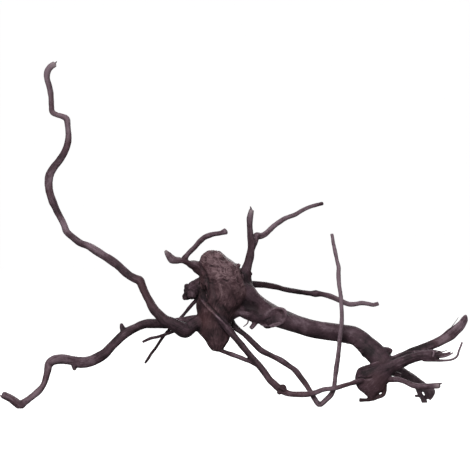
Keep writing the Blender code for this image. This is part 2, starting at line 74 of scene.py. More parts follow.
# Limbs: points (across, up, back, radius) along the middle, from the thick end to the tip
LIMBS = {
    "tall_branch": [
        (-33, 84, -4, 9), (-42, 80.6, -9, 7.3), (-49.2, 75.6, -12, 8.1), (-56, 78.6, -14, 7.7),
        (-63, 82.5, -16, 6.9), (-70, 85.7, -17, 6.1), (-75.5, 90.7, -17, 5.3), (-80.5, 96.2, -16, 5),
        (-86.2, 106, -14, 4), (-91, 115, -12, 3.8), (-93.3, 121, -11, 4), (-95.5, 125.6, -10, 4.4),
        (-100, 127.5, -9, 4.2), (-106, 131, -7, 4), (-115, 138.6, -4, 3.9), (-120, 142.8, -2, 4.2),
        (-130, 149.4, 2, 3.9), (-140, 156, 6, 4.3), (-147, 160.3, 9, 3.8), (-155, 163.4, 11, 3.6),
        (-163, 169.6, 14, 3.5), (-168.3, 174.6, 16, 3.6), (-170.8, 181, 18, 3.4), (-178.6, 196, 23, 3.5),
        (-183, 206, 26, 3.6), (-185.7, 216, 29, 3.6), (-186.4, 224, 31, 3.8), (-185.2, 231, 33, 3.8),
        (-181.6, 237.6, 35, 3.6), (-174.7, 246.8, 38, 3.5), (-170.2, 255, 40, 3.4),
        (-167.2, 264, 42, 3.5), (-166.6, 272, 42, 3.2), (-167.5, 282, 42, 3.1), (-168.4, 287.4, 42, 3.2),
        (-173, 289.8, 43, 2.9), (-178.6, 291.4, 44, 2.6), (-182.6, 294, 44, 3), (-183.7, 301, 43, 2.8),
        (-184.2, 311, 41, 2.9), (-185.9, 320, 39, 2.8), (-188, 328, 38, 2.6), (-187.8, 333.6, 37, 2.9),
        (-184.6, 339, 36, 3), (-180.2, 342, 35, 2.9),
    ],
    "left_branch": [
        (-33, 84, 4, 8), (-44, 83, 8, 6.8), (-55, 82.6, 11, 5.5), (-67, 82.4, 12, 5),
        (-80, 82.7, 12, 4.9), (-90, 82.2, 11, 4.7), (-100, 78, 9, 4.6), (-110, 72.5, 6, 5),
        (-116, 67, 4, 4.7), (-125, 57.7, -1, 4.6), (-130.5, 52, -4, 5), (-136, 48.7, -6, 5.2),
        (-145, 45, -11, 5.1), (-155, 43.6, -16, 5.3), (-165, 45.7, -21, 4.4), (-175, 46.7, -27, 4.6),
        (-182, 45.2, -31, 4.6), (-186.2, 41.5, -33, 4.2), (-187.2, 36, -37, 3.8), (-188.6, 30, -40, 3.5),
        (-191.7, 21, -45, 3.3), (-196, 15.5, -48, 3.4), (-205, 7.9, -53, 3.4), (-210.4, 3.7, -56, 3.8),
        (-215, 0.9, -57, 4.6), (-220, 4.3, -59, 4.2), (-225, 8, -60, 3.7), (-232, 11.2, -61, 3.4),
    ],
    "thorn": [(-110.5, 74, 6, 3.8), (-112.6, 78, 6, 2.4), (-113.9, 82.2, 6, 1)],
    "left_stub": [(-161, 44, -19, 4.4), (-160.6, 40, -18, 3.1), (-160.4, 36.2, -17, 1.4)],
    "long_twig": [
        (-32, 112, 8, 3), (-40, 104.5, 12, 1.7), (-45, 99, 16, 1.6), (-50, 93, 20, 1.6),
        (-59, 83, 26, 1.6), (-66.5, 75.5, 30, 1.6), (-72, 69, 34, 1.5), (-77, 61.5, 39, 1.5),
        (-80, 57, 41, 1.4), (-84, 52, 44, 1.4), (-86.4, 48, 46, 1.4), (-90, 43, 49, 1.1),
    ],
    "short_twig": [
        (-50, 77, -5, 2.6), (-57, 75.6, -4, 1.7), (-62, 74.3, 0, 1.5), (-67, 72.5, 5, 1.4),
        (-78, 69, 14, 1.3), (-84, 67.8, 18, 1.3), (-92.2, 64.2, 24, 1.1),
    ],
    "back_knob": [
        (-30, 121, 4, 9), (-38.6, 117.2, 11, 8.8), (-43.6, 113.6, 15, 8.6), (-46.2, 110.8, 17, 6),
    ],
    "horn": [
        (-25, 132, -4, 9), (-32, 136.6, -8, 8), (-36.8, 138.6, -10, 6.5), (-40.4, 140.6, -13, 5.2),
        (-45, 141.8, -17, 3.9), (-49, 143.8, -20, 3.2), (-55, 145.7, -23, 3.1), (-59, 146, -25, 3.5),
        (-63.2, 147.2, -27, 4.4), (-66.6, 151, -29, 3.1), (-69.6, 155, -31, 1.3),
    ],
    "whip": [
        (-51.6, 143.8, -18, 4.4), (-50, 147.8, -18, 3.5), (-46.8, 152.2, -20, 2.8),
        (-39.6, 159.6, -22, 2.6), (-34.6, 165.2, -23, 2.7), (-29.4, 169.2, -25, 2.6),
        (-21.8, 171.8, -28, 2.4), (-14, 173, -31, 2.3), (-9.2, 174.7, -33, 3.1),
    ],
    "antler": [
        (4, 112, 0, 11), (8, 122, 0, 9), (9.8, 129, -1, 6), (10.9, 135, -2, 4.8),
        (12.9, 141, -3, 4.1), (15.4, 151, -4, 3.9), (16.6, 161, -6, 3.8), (15.8, 167, -7, 3.3),
        (15, 173, -8, 3.1), (14.6, 181, -11, 3.1), (14.9, 187, -13, 3.3), (15.8, 192, -14, 3.1),
        (16.8, 196, -15, 2.7),
    ],
    "antler_side": [
        (16.6, 156, -5, 3.6), (19.6, 164.6, -1, 3.6), (21.4, 169.6, 2, 3.6), (26, 170, 6, 2.7),
        (30.2, 172, 9, 2.5), (40, 181, 15, 2.4), (50, 187.6, 21, 2.2), (60, 191.3, 26, 2),
        (68, 195.9, 31, 2.1), (75, 199.1, 35, 2), (87.4, 202.6, 43, 1.9),
    ],
    "right_branch": [
        (2, 120, 8, 6), (12, 121.4, 15, 3.8), (21, 121.5, 20, 3.1), (30, 121, 26, 3),
        (42, 119, 34, 3.1), (48, 117.1, 37, 2.7), (58, 115.2, 42, 2.6), (75, 112.6, 51, 2.7),
        (80.6, 112.3, 53, 4.1), (86.4, 111.8, 55, 2.4), (93, 110.4, 57, 2.4), (104, 106, 60, 2.4),
        (111, 102.8, 62, 2.3), (115.5, 101.6, 63, 2.2), (121, 102, 64, 2.1), (127, 103, 66, 2),
        (133, 102.2, 67, 1.9), (138.6, 101.2, 69, 1.9), (143.4, 102.4, 70, 1.8),
    ],
    "thick_root": [
        (-6, 112, 0, 16.6), (8, 107, 1, 13.8), (18, 102, 2, 11.8), (27, 97, 3, 10.8),
        (40, 90, 5, 10.5), (55, 84, 6, 10), (63, 81, 7, 9.6), (72.3, 78.1, 8, 9.4),
        (82, 76.2, 9, 9.1), (91.6, 75, 9, 8.8), (102.8, 73.6, 9, 8.5), (108.2, 72.6, 9, 8.5),
        (117.1, 70.8, 8, 8.5), (124.3, 67, 7, 8.4), (131.8, 60.2, 6, 9.2), (138.2, 54.7, 5, 9.6),
        (142.8, 50.4, 4, 10), (149, 43, 2, 9.8), (148, 32, 0, 8),
    ],
    "shoulder": [
        (3, 124, -2, 9), (10, 116, -4, 9.4), (17, 108, -3.4, 8.6), (25, 100.4, 0, 8.6), (34, 94, 4, 8),
    ],
    "broken_stub": [(26, 89, 0, 5), (22, 85.2, -4, 3.1), (18.8, 81.2, -7, 2.3), (16, 78, -9, 2)],
    "under_bump": [(36, 89, 0, 8), (31.8, 82.8, 1, 7), (29.6, 80.2, 0, 3.8)],
    "arch_rim": [
        (-9, 88, -4, 6.4), (-2, 91.8, -8, 5.2), (5, 93.4, -10, 3.9), (13, 91.2, -9, 5),
        (20, 88.8, -6, 5.4), (28, 90, -2, 7),
    ],
    "torn_collar": [
        (31, 78.4, -3, 1.5), (25.4, 82.8, -4.6, 1.4), (28.4, 88.6, -7.6, 1.4), (34, 94.2, -6.8, 1.4),
        (42.6, 97.6, -4, 1.6), (49.4, 95.6, -2.6, 1.8), (50.8, 89.8, -4.4, 1.5), (47.4, 83.4, -5.4, 1.4),
        (41, 80.8, -5.2, 1.4), (35.4, 79.4, -4.4, 1.4),
    ],
    "fan_nub": [(146, 50, 4, 9.2), (150.6, 54.2, 5, 5.2), (154.6, 54.9, 6, 3.2), (156.6, 54.2, 6, 2.1)],
    "fan_wing": [
        (144, 37, 0, 10), (152, 41, 0, 8), (160, 44.8, 0, 6.2), (170, 50, 2, 5.6),
        (180, 54.8, 4, 5.1), (190, 58.6, 6, 4.9), (200, 62.4, 8, 5), (208, 66.4, 11, 5.3),
        (215.3, 71.4, 13, 5.8), (221.4, 76.4, 15, 5.1), (226.5, 81.6, 17, 4.2), (229.5, 86.8, 19, 3.2),
        (230.8, 90.2, 20, 2),
    ],
    "fan_finger": [
        (148, 35, -4, 9), (157, 39.3, -6, 6.9), (165, 43, -8, 5.8), (175, 47, -10, 5.2),
        (185, 49.7, -13, 4.9), (196, 50.8, -16, 4.7), (201.4, 50.6, -18, 3.8),
    ],
    "splinter_high": [
        (195, 52.4, -16, 2.2), (204, 52.2, -19, 1.5), (210, 52, -20, 1), (215.4, 53.8, -21, 0.6),
    ],
    "splinter_mid": [
        (196, 49.6, -17, 2.4), (205, 49.4, -20, 1.6), (212, 50.3, -22, 1), (218.4, 53.4, -24, 0.7),
    ],
    "long_fibre": [
        (188, 46.5, -14, 2.3), (199, 45.6, -17, 1.4), (210, 45.5, -20, 1.1), (216.4, 46.4, -21, 1),
        (221.8, 49.4, -22, 0.9), (224.2, 56, -24, 0.9), (227.4, 64, -25, 0.8),
    ],
    "fan_fibre": [
        (124.4, 5.9, -6, 1.9), (131, 6, -5, 1.4), (137, 6.8, -4, 1.7), (142.4, 8.8, -4, 1.6),
        (147.8, 11, -4, 1.8), (149.4, 15, -4, 2), (149, 20, -4, 3),
    ],
    "claw": [
        (152, 41, 8, 8), (162, 36.2, 18, 6), (170, 31.4, 31, 5.2), (178, 26.2, 45, 4.7),
        (184.6, 21.8, 57, 4.4), (189.6, 18.2, 66, 4), (192, 14, 72, 3.4), (192.8, 9.5, 76, 2.4),
    ],
    "claw_foot": [
        (179.4, 23.2, 50, 3), (182.9, 17, 61, 2.2), (185.5, 11.5, 70, 2.1), (187.8, 7.8, 76, 2.3),
        (189.4, 4.8, 80, 2.5), (189.6, 3.8, 81, 2.5),
    ],
    "claw_link": [(187.6, 8.2, 76, 1.7), (190.4, 7.8, 77, 1.6), (193.4, 8.6, 76, 1.6)],
    "claw_edge": [
        (191, 19.6, 63, 2.8), (198, 15.2, 69, 2.1), (197.6, 11.4, 73, 1.9), (194.6, 7.2, 76, 2),
    ],
    "claw_spur": [(186.6, 10.6, 71, 1.3), (180, 10, 73, 1)],
    "front_root": [
        (-30, 107, -15, 4), (-20, 94, -18, 4.4), (-12, 84, -18, 4.5), (-5.2, 75, -19, 4),
        (2.1, 66.3, -20, 3.4), (10.6, 56.2, -22, 3.3), (18.6, 46.6, -25, 3.4), (24.6, 39.8, -26, 3.4),
        (30.8, 31.6, -29, 3.3), (34.6, 26.2, -30, 3.3), (39.6, 21.6, -31, 3.2), (44, 17.6, -31.5, 3.2),
        (48.4, 14.8, -31, 3.1), (54, 12.5, -31, 2.8), (61, 11.8, -30, 2.7), (73, 12, -29, 2.7),
        (81, 13.6, -29, 2.4), (89, 16.5, -28, 2.5), (100, 17.9, -26, 2.5), (110, 20.8, -22, 2.4),
        (117, 22.9, -17.5, 2.4), (123, 24.8, -13, 2.6), (130, 25.6, -9, 2.8), (140, 26.4, -6, 3),
        (151, 26.6, -5, 3), (157, 26.4, -8, 2.9), (163, 26.4, -11, 2.5), (170, 24.3, -14, 2.2),
        (178, 20.7, -16, 2.4), (186, 19.8, -18, 2.5), (195, 20.1, -21, 2.6), (204.4, 20.5, -24, 2.6),
    ],
    "side_root": [
        (-19, 57.4, -8, 3.2), (-12, 54.7, -10, 2.2), (-2, 51.2, -15, 2.3), (8, 47.4, -20, 2.2),
        (18, 43, -24, 2.4), (25, 38.6, -26.5, 2.2),
    ],
    "loop_root": [
        (-10, 94, 5, 6), (-1.8, 80.8, 8, 3.4), (3, 76.4, 6, 2.9), (9.2, 71.8, 4, 2.9),
        (19.6, 61.9, -1, 3.1), (26.4, 55.8, -5, 3.2), (35, 51.2, -8, 2.7), (45, 46, -11, 2.6),
        (55, 39.5, -13, 2.5), (60.6, 35.2, -14, 2.6), (65, 29.5, -15.5, 2.5), (71.4, 21, -17.5, 2.4),
        (76, 13.8, -18.5, 2.4), (79.8, 7, -19.5, 2.6), (84.6, 1.3, -20, 2.7), (90.6, 5.8, -20, 2.8),
        (96.2, 11.4, -19.5, 2.9), (98.8, 17, -19, 2.7), (99.8, 24, -18, 2.5), (100.9, 34, -16, 2.4),
        (102.5, 46, -14, 2.3), (104, 58, -12.6, 2.2), (105, 70, -12.6, 2.2), (106.8, 84, -12, 2.1),
        (106.8, 94, -12, 1.9), (105.6, 111, -11, 1.8), (104.1, 121, -10, 1.8), (103.5, 131, -9, 1.9),
        (103.7, 138, -8, 1.9), (101.9, 146, -7, 1.9), (98.6, 162, -5, 1.8), (96.8, 172, -4, 1.7),
    ],
    # thin webs of wood between close limbs, which the solid leaves open
    "claw_web": [(190.4, 17.6, 64, 2.2), (194.4, 14.6, 68, 2.4), (194.4, 10.6, 73, 2)],
    "arm_web": [(150, 34, -2, 4), (157, 32.8, 0, 2.4), (165, 30.6, 6, 2.2)],
}
# The burl, from its crown to the wedge of its foot: (across, up, back, half width, half depth)
BODY = [
    (-21.8, 155, -6, 5.8, 5), (-21.8, 151.4, -5.5, 10.5, 11), (-19.6, 146.6, -5, 14.9, 16),
    (-16.8, 142.2, -5, 18.2, 18.6), (-15, 139, -5, 20, 19.8), (-14.2, 129, -5, 21.4, 21.5),
    (-11, 116, -4, 24.3, 22), (-14, 104, -4, 23.8, 21), (-17.4, 94, -4, 20.4, 19),
    (-20.5, 84, -4, 16.8, 16), (-20.6, 74, -5, 16, 13), (-18.2, 66, -6, 12.3, 10),
    (-18.3, 59, -7, 7.9, 7), (-18, 54.8, -8, 4.6, 4),
]
# Lumps of the burl and knots on the roots: (across, up, back, radius)
LUMPS = [
    (-28.6, 144.6, -12, 6.4), (-18, 145.6, -12, 8), (-7.4, 137, -14.5, 8.5), (-20, 132, -16.5, 9.5),
    (-6, 125, -15.5, 10), (-26, 122, -14, 9), (1, 138.6, -8, 3.6), (4.6, 141.2, -8, 1.8),
    (-12, 141, 7, 9), (-24, 130, 9, 9.5), (0, 121, 10, 10), (15.8, 132.2, -1, 1.7),
    (-48.2, 119.6, 14, 2.8), (-48.6, 109.8, 15, 4.2), (-43, 112, 7, 5.5), (-41, 120, 8, 5),
    (47.8, 17.8, -31.8, 3.8), (44.4, 13.8, -31.5, 2.6), (130.4, 53, 4, 4.4),
]
# The splayed stump, from the top down
FAN = [
    (159, 47, 0, 6.6, 4), (152, 42.4, -2, 15, 8), (142.6, 38, -3, 18.8, 10), (139.7, 33.4, -4, 18.6, 10),
    (137.8, 27, -4, 17.8, 9.5), (136.4, 21, -4, 15.4, 8.5), (136.8, 15.5, -4, 12.4, 6.5),
    (136.4, 12.6, -4, 7.8, 5), (136.2, 9.6, -4, 4.2, 3.6), (136, 6.4, -4, 2.2, 2),
]
# Hollows: (across, up, back, half width, half depth, half height)
HOLLOWS = [
    (15.6, 99.4, -16, 10.5, 9, 6),   # the dark pocket between the burl and the thick root
    (40, 89.4, -9, 8.6, 5.2, 6),     # inside the torn collar
]


def place(sketch):
    """True places of points drawn as (across, up, back)."""
    sketch = np.asarray(sketch, float)
    growth = 1 + sketch[..., 2] / SIGHT_DISTANCE
    x = sketch[..., 0] * growth - SKETCH_MIDDLE[0]
    y = sketch[..., 2] - SKETCH_MIDDLE[1]
    z = EYE_HEIGHT + (sketch[..., 1] - EYE_HEIGHT) * growth
    return np.stack((x, y, z), axis=-1)


def sketched(places):
    """(across, up) at which true places are drawn."""
    growth = 1 + (places[:, 1] + SKETCH_MIDDLE[1]) / SIGHT_DISTANCE
    across = (places[:, 0] + SKETCH_MIDDLE[0]) / growth
    up = EYE_HEIGHT + (places[:, 2] - EYE_HEIGHT) / growth
    return np.stack((across, up), axis=-1)


def smooth_run(points, step):
    """Samples of the centripetal Catmull-Rom curve through points of any dimension."""
    points = np.asarray(points, float)
    ends = np.vstack((2 * points[0] - points[1], points, 2 * points[-1] - points[-2]))
    samples = []
    for i in range(len(points) - 1):
        p = ends[i:i + 4]
        knots = [0.0]
        for start, end in zip(p, p[1:]):
            knots.append(knots[-1] + max(np.linalg.norm((end - start)[:3]), 1e-6) ** 0.5)
        t0, t1, t2, t3 = knots
        count = max(1, round(np.linalg.norm((p[2] - p[1])[:3]) / step))
        t = (t1 + (t2 - t1) * np.arange(count) / count)[:, None]
        a1, a2, a3 = (
            p[k] + (p[k + 1] - p[k]) * (t - knots[k]) / (knots[k + 1] - knots[k]) for k in range(3))
        b1 = a1 + (a2 - a1) * (t - t0) / (t2 - t0)
        b2 = a2 + (a3 - a2) * (t - t1) / (t3 - t1)
        samples.append(b1 + (b2 - b1) * (t - t1) / (t2 - t1))
    samples.append(points[-1:])
    return np.vstack(samples)


def unit(vectors):
    return vectors / np.maximum(np.linalg.norm(vectors, axis=-1, keepdims=True), 1e-9)


HASH = np.array([374761393, 668265263, 1440662683])


def steady_noise(points, seed):
    """Smooth noise from -1 to 1 at points, one cell to a unit."""
    cell = np.floor(points).astype(np.int64)
    part = points - cell
    part = part * part * part * (part * (part * 6 - 15) + 10)
    total = np.zeros(len(points))
    for corner in range(8):
        step = np.array([corner & 1, corner >> 1 & 1, corner >> 2 & 1])
        key = (cell + step) @ HASH + seed * 974711
        key = (key ^ (key >> 13)) * 1274126177 & 0xFFFFFFFF
        key = (key ^ (key >> 16)) * 2246822519 & 0xFFFFFFFF
        share = np.prod(np.where(step, part, 1 - part), axis=1)
        total += share * ((key ^ (key >> 15)) / 0x7FFFFFFF - 1)
    return total


def layered(points, seed, layers=3, fade=0.5):
    """Noise with finer, weaker layers on top."""
    total = np.zeros(len(points))
    for layer in range(layers):
        total += fade ** layer * steady_noise(points * 2 ** layer + 17.3 * layer, seed + layer)
    return total


class Limb:
    """The sampled middle line of a limb, with its radii and a frame that doesn't twist."""

    def __init__(self, name, points, flatness=1.0):
        points = np.asarray(points, float)
        line = smooth_run(np.column_stack((place(points[:, :3]), points[:, 3])), SAMPLE)
        self.name = name
        self.flatness = flatness
        self.phase = sum(map(ord, name)) % 7
        self.centre = line[:, :3]
        self.radius = np.interp(np.arange(len(line)), *self.straight_radii(points, len(line)))
        ahead = np.gradient(self.centre, axis=0)
        self.along = unit(ahead)
        steps = np.linalg.norm(np.diff(self.centre, axis=0), axis=1)
        self.run = np.concatenate(((0.0,), np.cumsum(steps)))
        self.side = np.empty_like(self.centre)
        side = np.array(Vector(self.along[0]).orthogonal().normalized())
        for k, along in enumerate(self.along):
            side = unit(side - along * side.dot(along))
            self.side[k] = side
        self.other = np.cross(self.along, self.side)

    def straight_radii(self, points, count):
        """Sample numbers and radii of the limb's own points."""
        centres = place(points[:, :3])
        gaps = np.linalg.norm(np.diff(centres, axis=0), axis=1)
        counts = np.maximum(1, np.round(gaps / SAMPLE))
        places = np.concatenate(((0.0,), np.cumsum(counts)))
        return places * (count - 1) / places[-1], points[:, 3]

    def tube(self, extra=THIN_EXTRA):
        """Corners and faces of the plain limb, its thinnest parts thickened by a little extra."""
        sides = max(12, round(2 * math.pi * self.radius.max() / FACET))
        angle = 2 * math.pi * np.arange(sides) / sides
        turn = self.phase + TWIST * self.run[:, None]
        uneven = 1 + OVAL * np.sin(2 * angle + turn)
        uneven += 0.5 * OVAL * np.sin(3 * angle - self.phase - 2 * TWIST * self.run[:, None])
        out = self.side[:, None] * np.cos(angle)[:, None] + self.other[:, None] * np.sin(angle)[:, None]
        radius = self.radius + extra * np.clip(1 - self.radius / STURDY, 0, 1)
        offset = out * (radius[:, None] * uneven)[..., None]
        offset[..., 1] *= self.flatness
        loops = self.centre[:, None] + offset
        reach = TIP_LENGTH * self.radius[-1] * self.along[-1]
        blunt = [self.centre[-1] + reach * share + offset[-1] * width for share, width in BLUNT_TIP]
        loops = np.concatenate((loops, np.array(blunt)))
        first = self.centre[0] - TIP_LENGTH * self.radius[0] * self.along[0]
        return closed(loops, first, self.centre[-1] + reach)


def closed(loops, first, last):
    """Corners and faces of a closed skin through loops of points, with a tip at each end."""
    rows, sides = loops.shape[:2]
    corners = np.vstack((loops.reshape(-1, 3), first, last))
    lower = np.arange(rows * sides).reshape(rows, sides)[:-1]
    following = np.roll(lower, -1, axis=1)
    quads = np.stack((lower, following, following + sides, lower + sides), axis=-1).reshape(-1, 4)
    faces = [tuple(q) for q in quads.tolist()]
    start = rows * sides
    ring = (rows - 1) * sides
    for k in range(sides):
        m = (k + 1) % sides
        faces.append((start, m, k))
        faces.append((start + 1, ring + k, ring + m))
    return corners, faces


def stack(sections, depth, ripple):
    """Corners and faces of a rippled body through level oval sections."""
    fine = smooth_run(sections, SAMPLE)
    scale = depth / (2 * max(section[4] for section in sections))
    sides = round(2 * math.pi * fine[:, 3].max() / FACET)
    angle = 2 * math.pi * np.arange(sides) / sides
    middle = place(fine[:, :3])
    loops = np.empty((len(fine), sides, 3))
    for k, (across, up, back, half_width, half_depth) in enumerate(fine):
        drawn = np.column_stack((
            across + half_width * np.cos(angle), np.full(sides, up), np.full(sides, back)))
        loop = place(drawn)
        loop[:, 1] += half_depth * scale * np.sin(angle)
        origin = np.array((SKETCH_MIDDLE[0], SKETCH_MIDDLE[1], 0))
        swell = [1 + ripple * noise(Vector((p + origin) / RIPPLE_SIZE)) for p in loop]
        loops[k] = middle[k] + (loop - middle[k]) * np.array(swell)[:, None]
    return closed(loops, middle[0] + (0, 0, 1), middle[-1] - (0, 0, 1))


def ball(across, up, back, half_width, half_depth, half_height):
    """Corners and faces of an egg-shaped lump."""
    rows = max(8, round(math.pi * max(half_width, half_height) / FACET))
    tilt = math.pi * (1 - np.arange(1, rows) / rows)
    angle = 2 * math.pi * np.arange(2 * rows) / (2 * rows)
    loops = np.empty((rows - 1, 2 * rows, 3))
    loops[..., 0] = np.sin(tilt)[:, None] * np.cos(angle) * half_width
    loops[..., 1] = np.sin(tilt)[:, None] * np.sin(angle) * half_depth
    loops[..., 2] = np.cos(tilt)[:, None] * half_height
    middle = place((across, up, back))
    bottom = middle - (0, 0, half_height)
    return closed(loops + middle, bottom, middle + (0, 0, half_height))


def mesh_of(name, shapes):
    """One mesh, in metres, of several closed skins."""
    corners = []
    faces = []
    for places, loops in shapes:
        start = sum(len(c) for c in corners)
        corners.append(places)
        faces += [tuple(v + start for v in loop) for loop in loops]
    mesh = bpy.data.meshes.new(name)
    mesh.from_pydata((np.vstack(corners) * MM).tolist(), [], faces)
    mesh.validate()
    return mesh


def applied(piece):
    """Bakes the piece's modifiers into its mesh."""
    graph = bpy.context.evaluated_depsgraph_get()
    mesh = bpy.data.meshes.new_from_object(piece.evaluated_get(graph))
    piece.modifiers.clear()
    piece.data = mesh


def add_object(name, mesh):
    piece = bpy.data.objects.new(name, mesh)
    bpy.context.scene.collection.objects.link(piece)
    return piece


def drop_strays(piece):
    """Deletes all but the largest linked piece of the skin, as fusing leaves a few tiny bubbles."""
    bm = bmesh.new()
    bm.from_mesh(piece.data)
    left = set(bm.verts)
    pieces = []
    while left:
        front = [left.pop()]
        linked = []
        while front:
            corner = front.pop()
            linked.append(corner)
            beside = {edge.other_vert(corner) for edge in corner.link_edges} & left
            left -= beside
            front += beside
        pieces.append(linked)
    pieces.sort(key=len)
    strays = [corner for linked in pieces[:-1] for corner in linked]
    bmesh.ops.delete(bm, geom=strays, context="VERTS")
    bm.to_mesh(piece.data)
    bm.free()


def fused_root(limbs):
    """All the limbs, the burl and the stump as one skin of small even cells, with the hollows cut."""
    shapes = [stack(BODY, BODY_DEPTH, BURL_RIPPLE), stack(FAN, FAN_DEPTH, 0.0)]
    shapes += [limb.tube() for limb in limbs]
    shapes += [ball(*lump, lump[3], lump[3]) for lump in LUMPS]
    piece = add_object("root_wood", mesh_of("root_wood", shapes))
    remesh = piece.modifiers.new("fuse", "REMESH")
    remesh.mode = "VOXEL"
    remesh.voxel_size = VOXEL * MM
    cutters = add_object("hollows", mesh_of("hollows", [ball(*hollow) for hollow in HOLLOWS]))
    cut = piece.modifiers.new("cut", "BOOLEAN")
    cut.operation = "DIFFERENCE"
    cut.object = cutters
    cut.solver = "MANIFOLD"
    applied(piece)
    bpy.data.objects.remove(cutters)
    drop_strays(piece)
    return piece


# Relief of the wood. What the flow coordinates are divided by is the size of a noise's cell,
# across the grain twice and then along it.
LIMB_FIBRE = (1.5, 1.5, 15.0)
BLEND = 0.9             # how far one limb's grain runs into the next, past its skin
REACH = 4.0             # how far past a limb's skin its grain is looked up
CREST = 2.6             # sharpness of the crests
CROWN_FROM = 112        # height from which the burl's fibres give way to gnarls
CROWN_BLEND = 16


class Mass:
    """A level-sectioned body, the burl or the stump, with the coordinates that its grain follows."""

    def __init__(self, name, sections, depth):
        fine = smooth_run(sections, SAMPLE)[::-1]
        self.name = name
        self.centre = place(fine[:, :3])
        self.wide = fine[:, 3]
        self.deep = fine[:, 4] * depth / (2 * max(section[4] for section in sections))
        self.radius = (self.wide + self.deep) / 2

    def coordinates(self, places):
        """(gap to the skin, flow coordinates) of places."""
        row = np.clip(np.searchsorted(self.centre[:, 2], places[:, 2]), 0, len(self.centre) - 1)
        out = places - self.centre[row]
        across = out[:, 0] / self.wide[row]
        back = out[:, 1] / self.deep[row]
        far = np.hypot(across, back)
        gap = (far - 1) * np.minimum(self.wide, self.deep)[row] + np.abs(out[:, 2])
        mean = self.radius.mean()
        return gap, np.column_stack((across * mean, back * mean, places[:, 2]))


def limb_coordinates(limb, places):
    """(gap to the skin, flow coordinates) of places round a limb."""
    far = ((places ** 2).sum(1)[:, None] - 2 * places @ limb.centre.T + (limb.centre ** 2).sum(1))
    row = far.argmin(axis=1)
    out = places - limb.centre[row]
    on = np.einsum("ij,ij->i", out, limb.along[row])
    on = np.clip(on, -SAMPLE, SAMPLE)
    out -= limb.along[row] * on[:, None]
    u = np.einsum("ij,ij->i", out, limb.side[row])
    v = np.einsum("ij,ij->i", out, limb.other[row])
    gap = np.linalg.norm(out, axis=1) - limb.radius[row]
    taper = np.maximum(limb.radius.mean(), 1.5) / np.maximum(limb.radius[row], 0.8)
    return gap, np.column_stack((u * taper, v * taper, limb.run[row] + on))


def near(places, limb):
    """Numbers of the places that lie in a limb's box, widened by its reach."""
    margin = limb.radius.max() + REACH
    low = limb.centre.min(axis=0) - margin
    high = limb.centre.max(axis=0) + margin
    return np.flatnonzero(((places > low) & (places < high)).all(axis=1))


def ridged(points, seed):
    """Noise with sharp crests, from -1 to 1."""
    return 1 - CREST * np.abs(steady_noise(points, seed))


UNEVEN = ((2, 9), (0.1, 0.045))     # radii, and how uneven limbs of them are, as shares of the radius


def limb_relief(flow, radius, seed):
    """How far a limb's fibres, swellings and dents stand out."""
    fibre = flow / LIMB_FIBRE
    bend = 0.5 * steady_noise(flow / (5, 5, 9), seed + 5)
    rise = (0.003 * radius + 0.045) * ridged(fibre + bend[:, None] * (1, 1, 0), seed)
    rise += 0.012 * radius * ridged(flow / (4, 4, 24), seed + 1)
    return rise + np.interp(radius, *UNEVEN) * radius * layered(flow / (8, 8, 10), seed + 2)


def burl_relief(flow, up, seed):
    """Gnarls on the crown, long wavy fibres below."""
    crown = np.clip((up - CROWN_FROM) / CROWN_BLEND, 0, 1)
    warp = np.column_stack([steady_noise(flow / 9 + 31 * k, seed + k) for k in range(3)])
    gnarl = 0.3 * ridged(flow / (5.4, 5.4, 3.2) + 0.9 * warp, seed + 3)
    gnarl += 0.16 * ridged(flow / (2.6, 2.6, 1.7) + warp, seed + 4)
    fibre = 0.16 * ridged(flow / (3.4, 3.4, 18) + 0.8 * warp, seed + 6)
    fibre += 0.07 * ridged(flow / (1.5, 1.5, 12) + 0.9 * warp, seed + 7)
    return crown * gnarl + (1 - crown) * fibre + 0.5 * steady_noise(flow / 11, seed + 9)


FAN_PIVOT = (160.0, 46.0)   # (across, up) of the point that the stump's fibres run out from
FAN_SPAN = 26.0             # millimetres of stump to a radian round the pivot


def fan_flow(drawn, depth):
    """Coordinates of the stump's fibres: round the pivot, through, and out from it."""
    out = drawn - FAN_PIVOT
    far = np.hypot(out[:, 0], out[:, 1])
    turn = np.arctan2(out[:, 1], -out[:, 0])
    return np.column_stack((turn * FAN_SPAN, depth, far))


def fan_relief(flow, seed):
    rise = 0.1 * ridged(flow / (3.2, 5, 30), seed)
    rise += 0.08 * ridged(flow / (1.3, 3, 24), seed + 1)
    return rise + 0.3 * steady_noise(flow / (9, 9, 12), seed + 2)


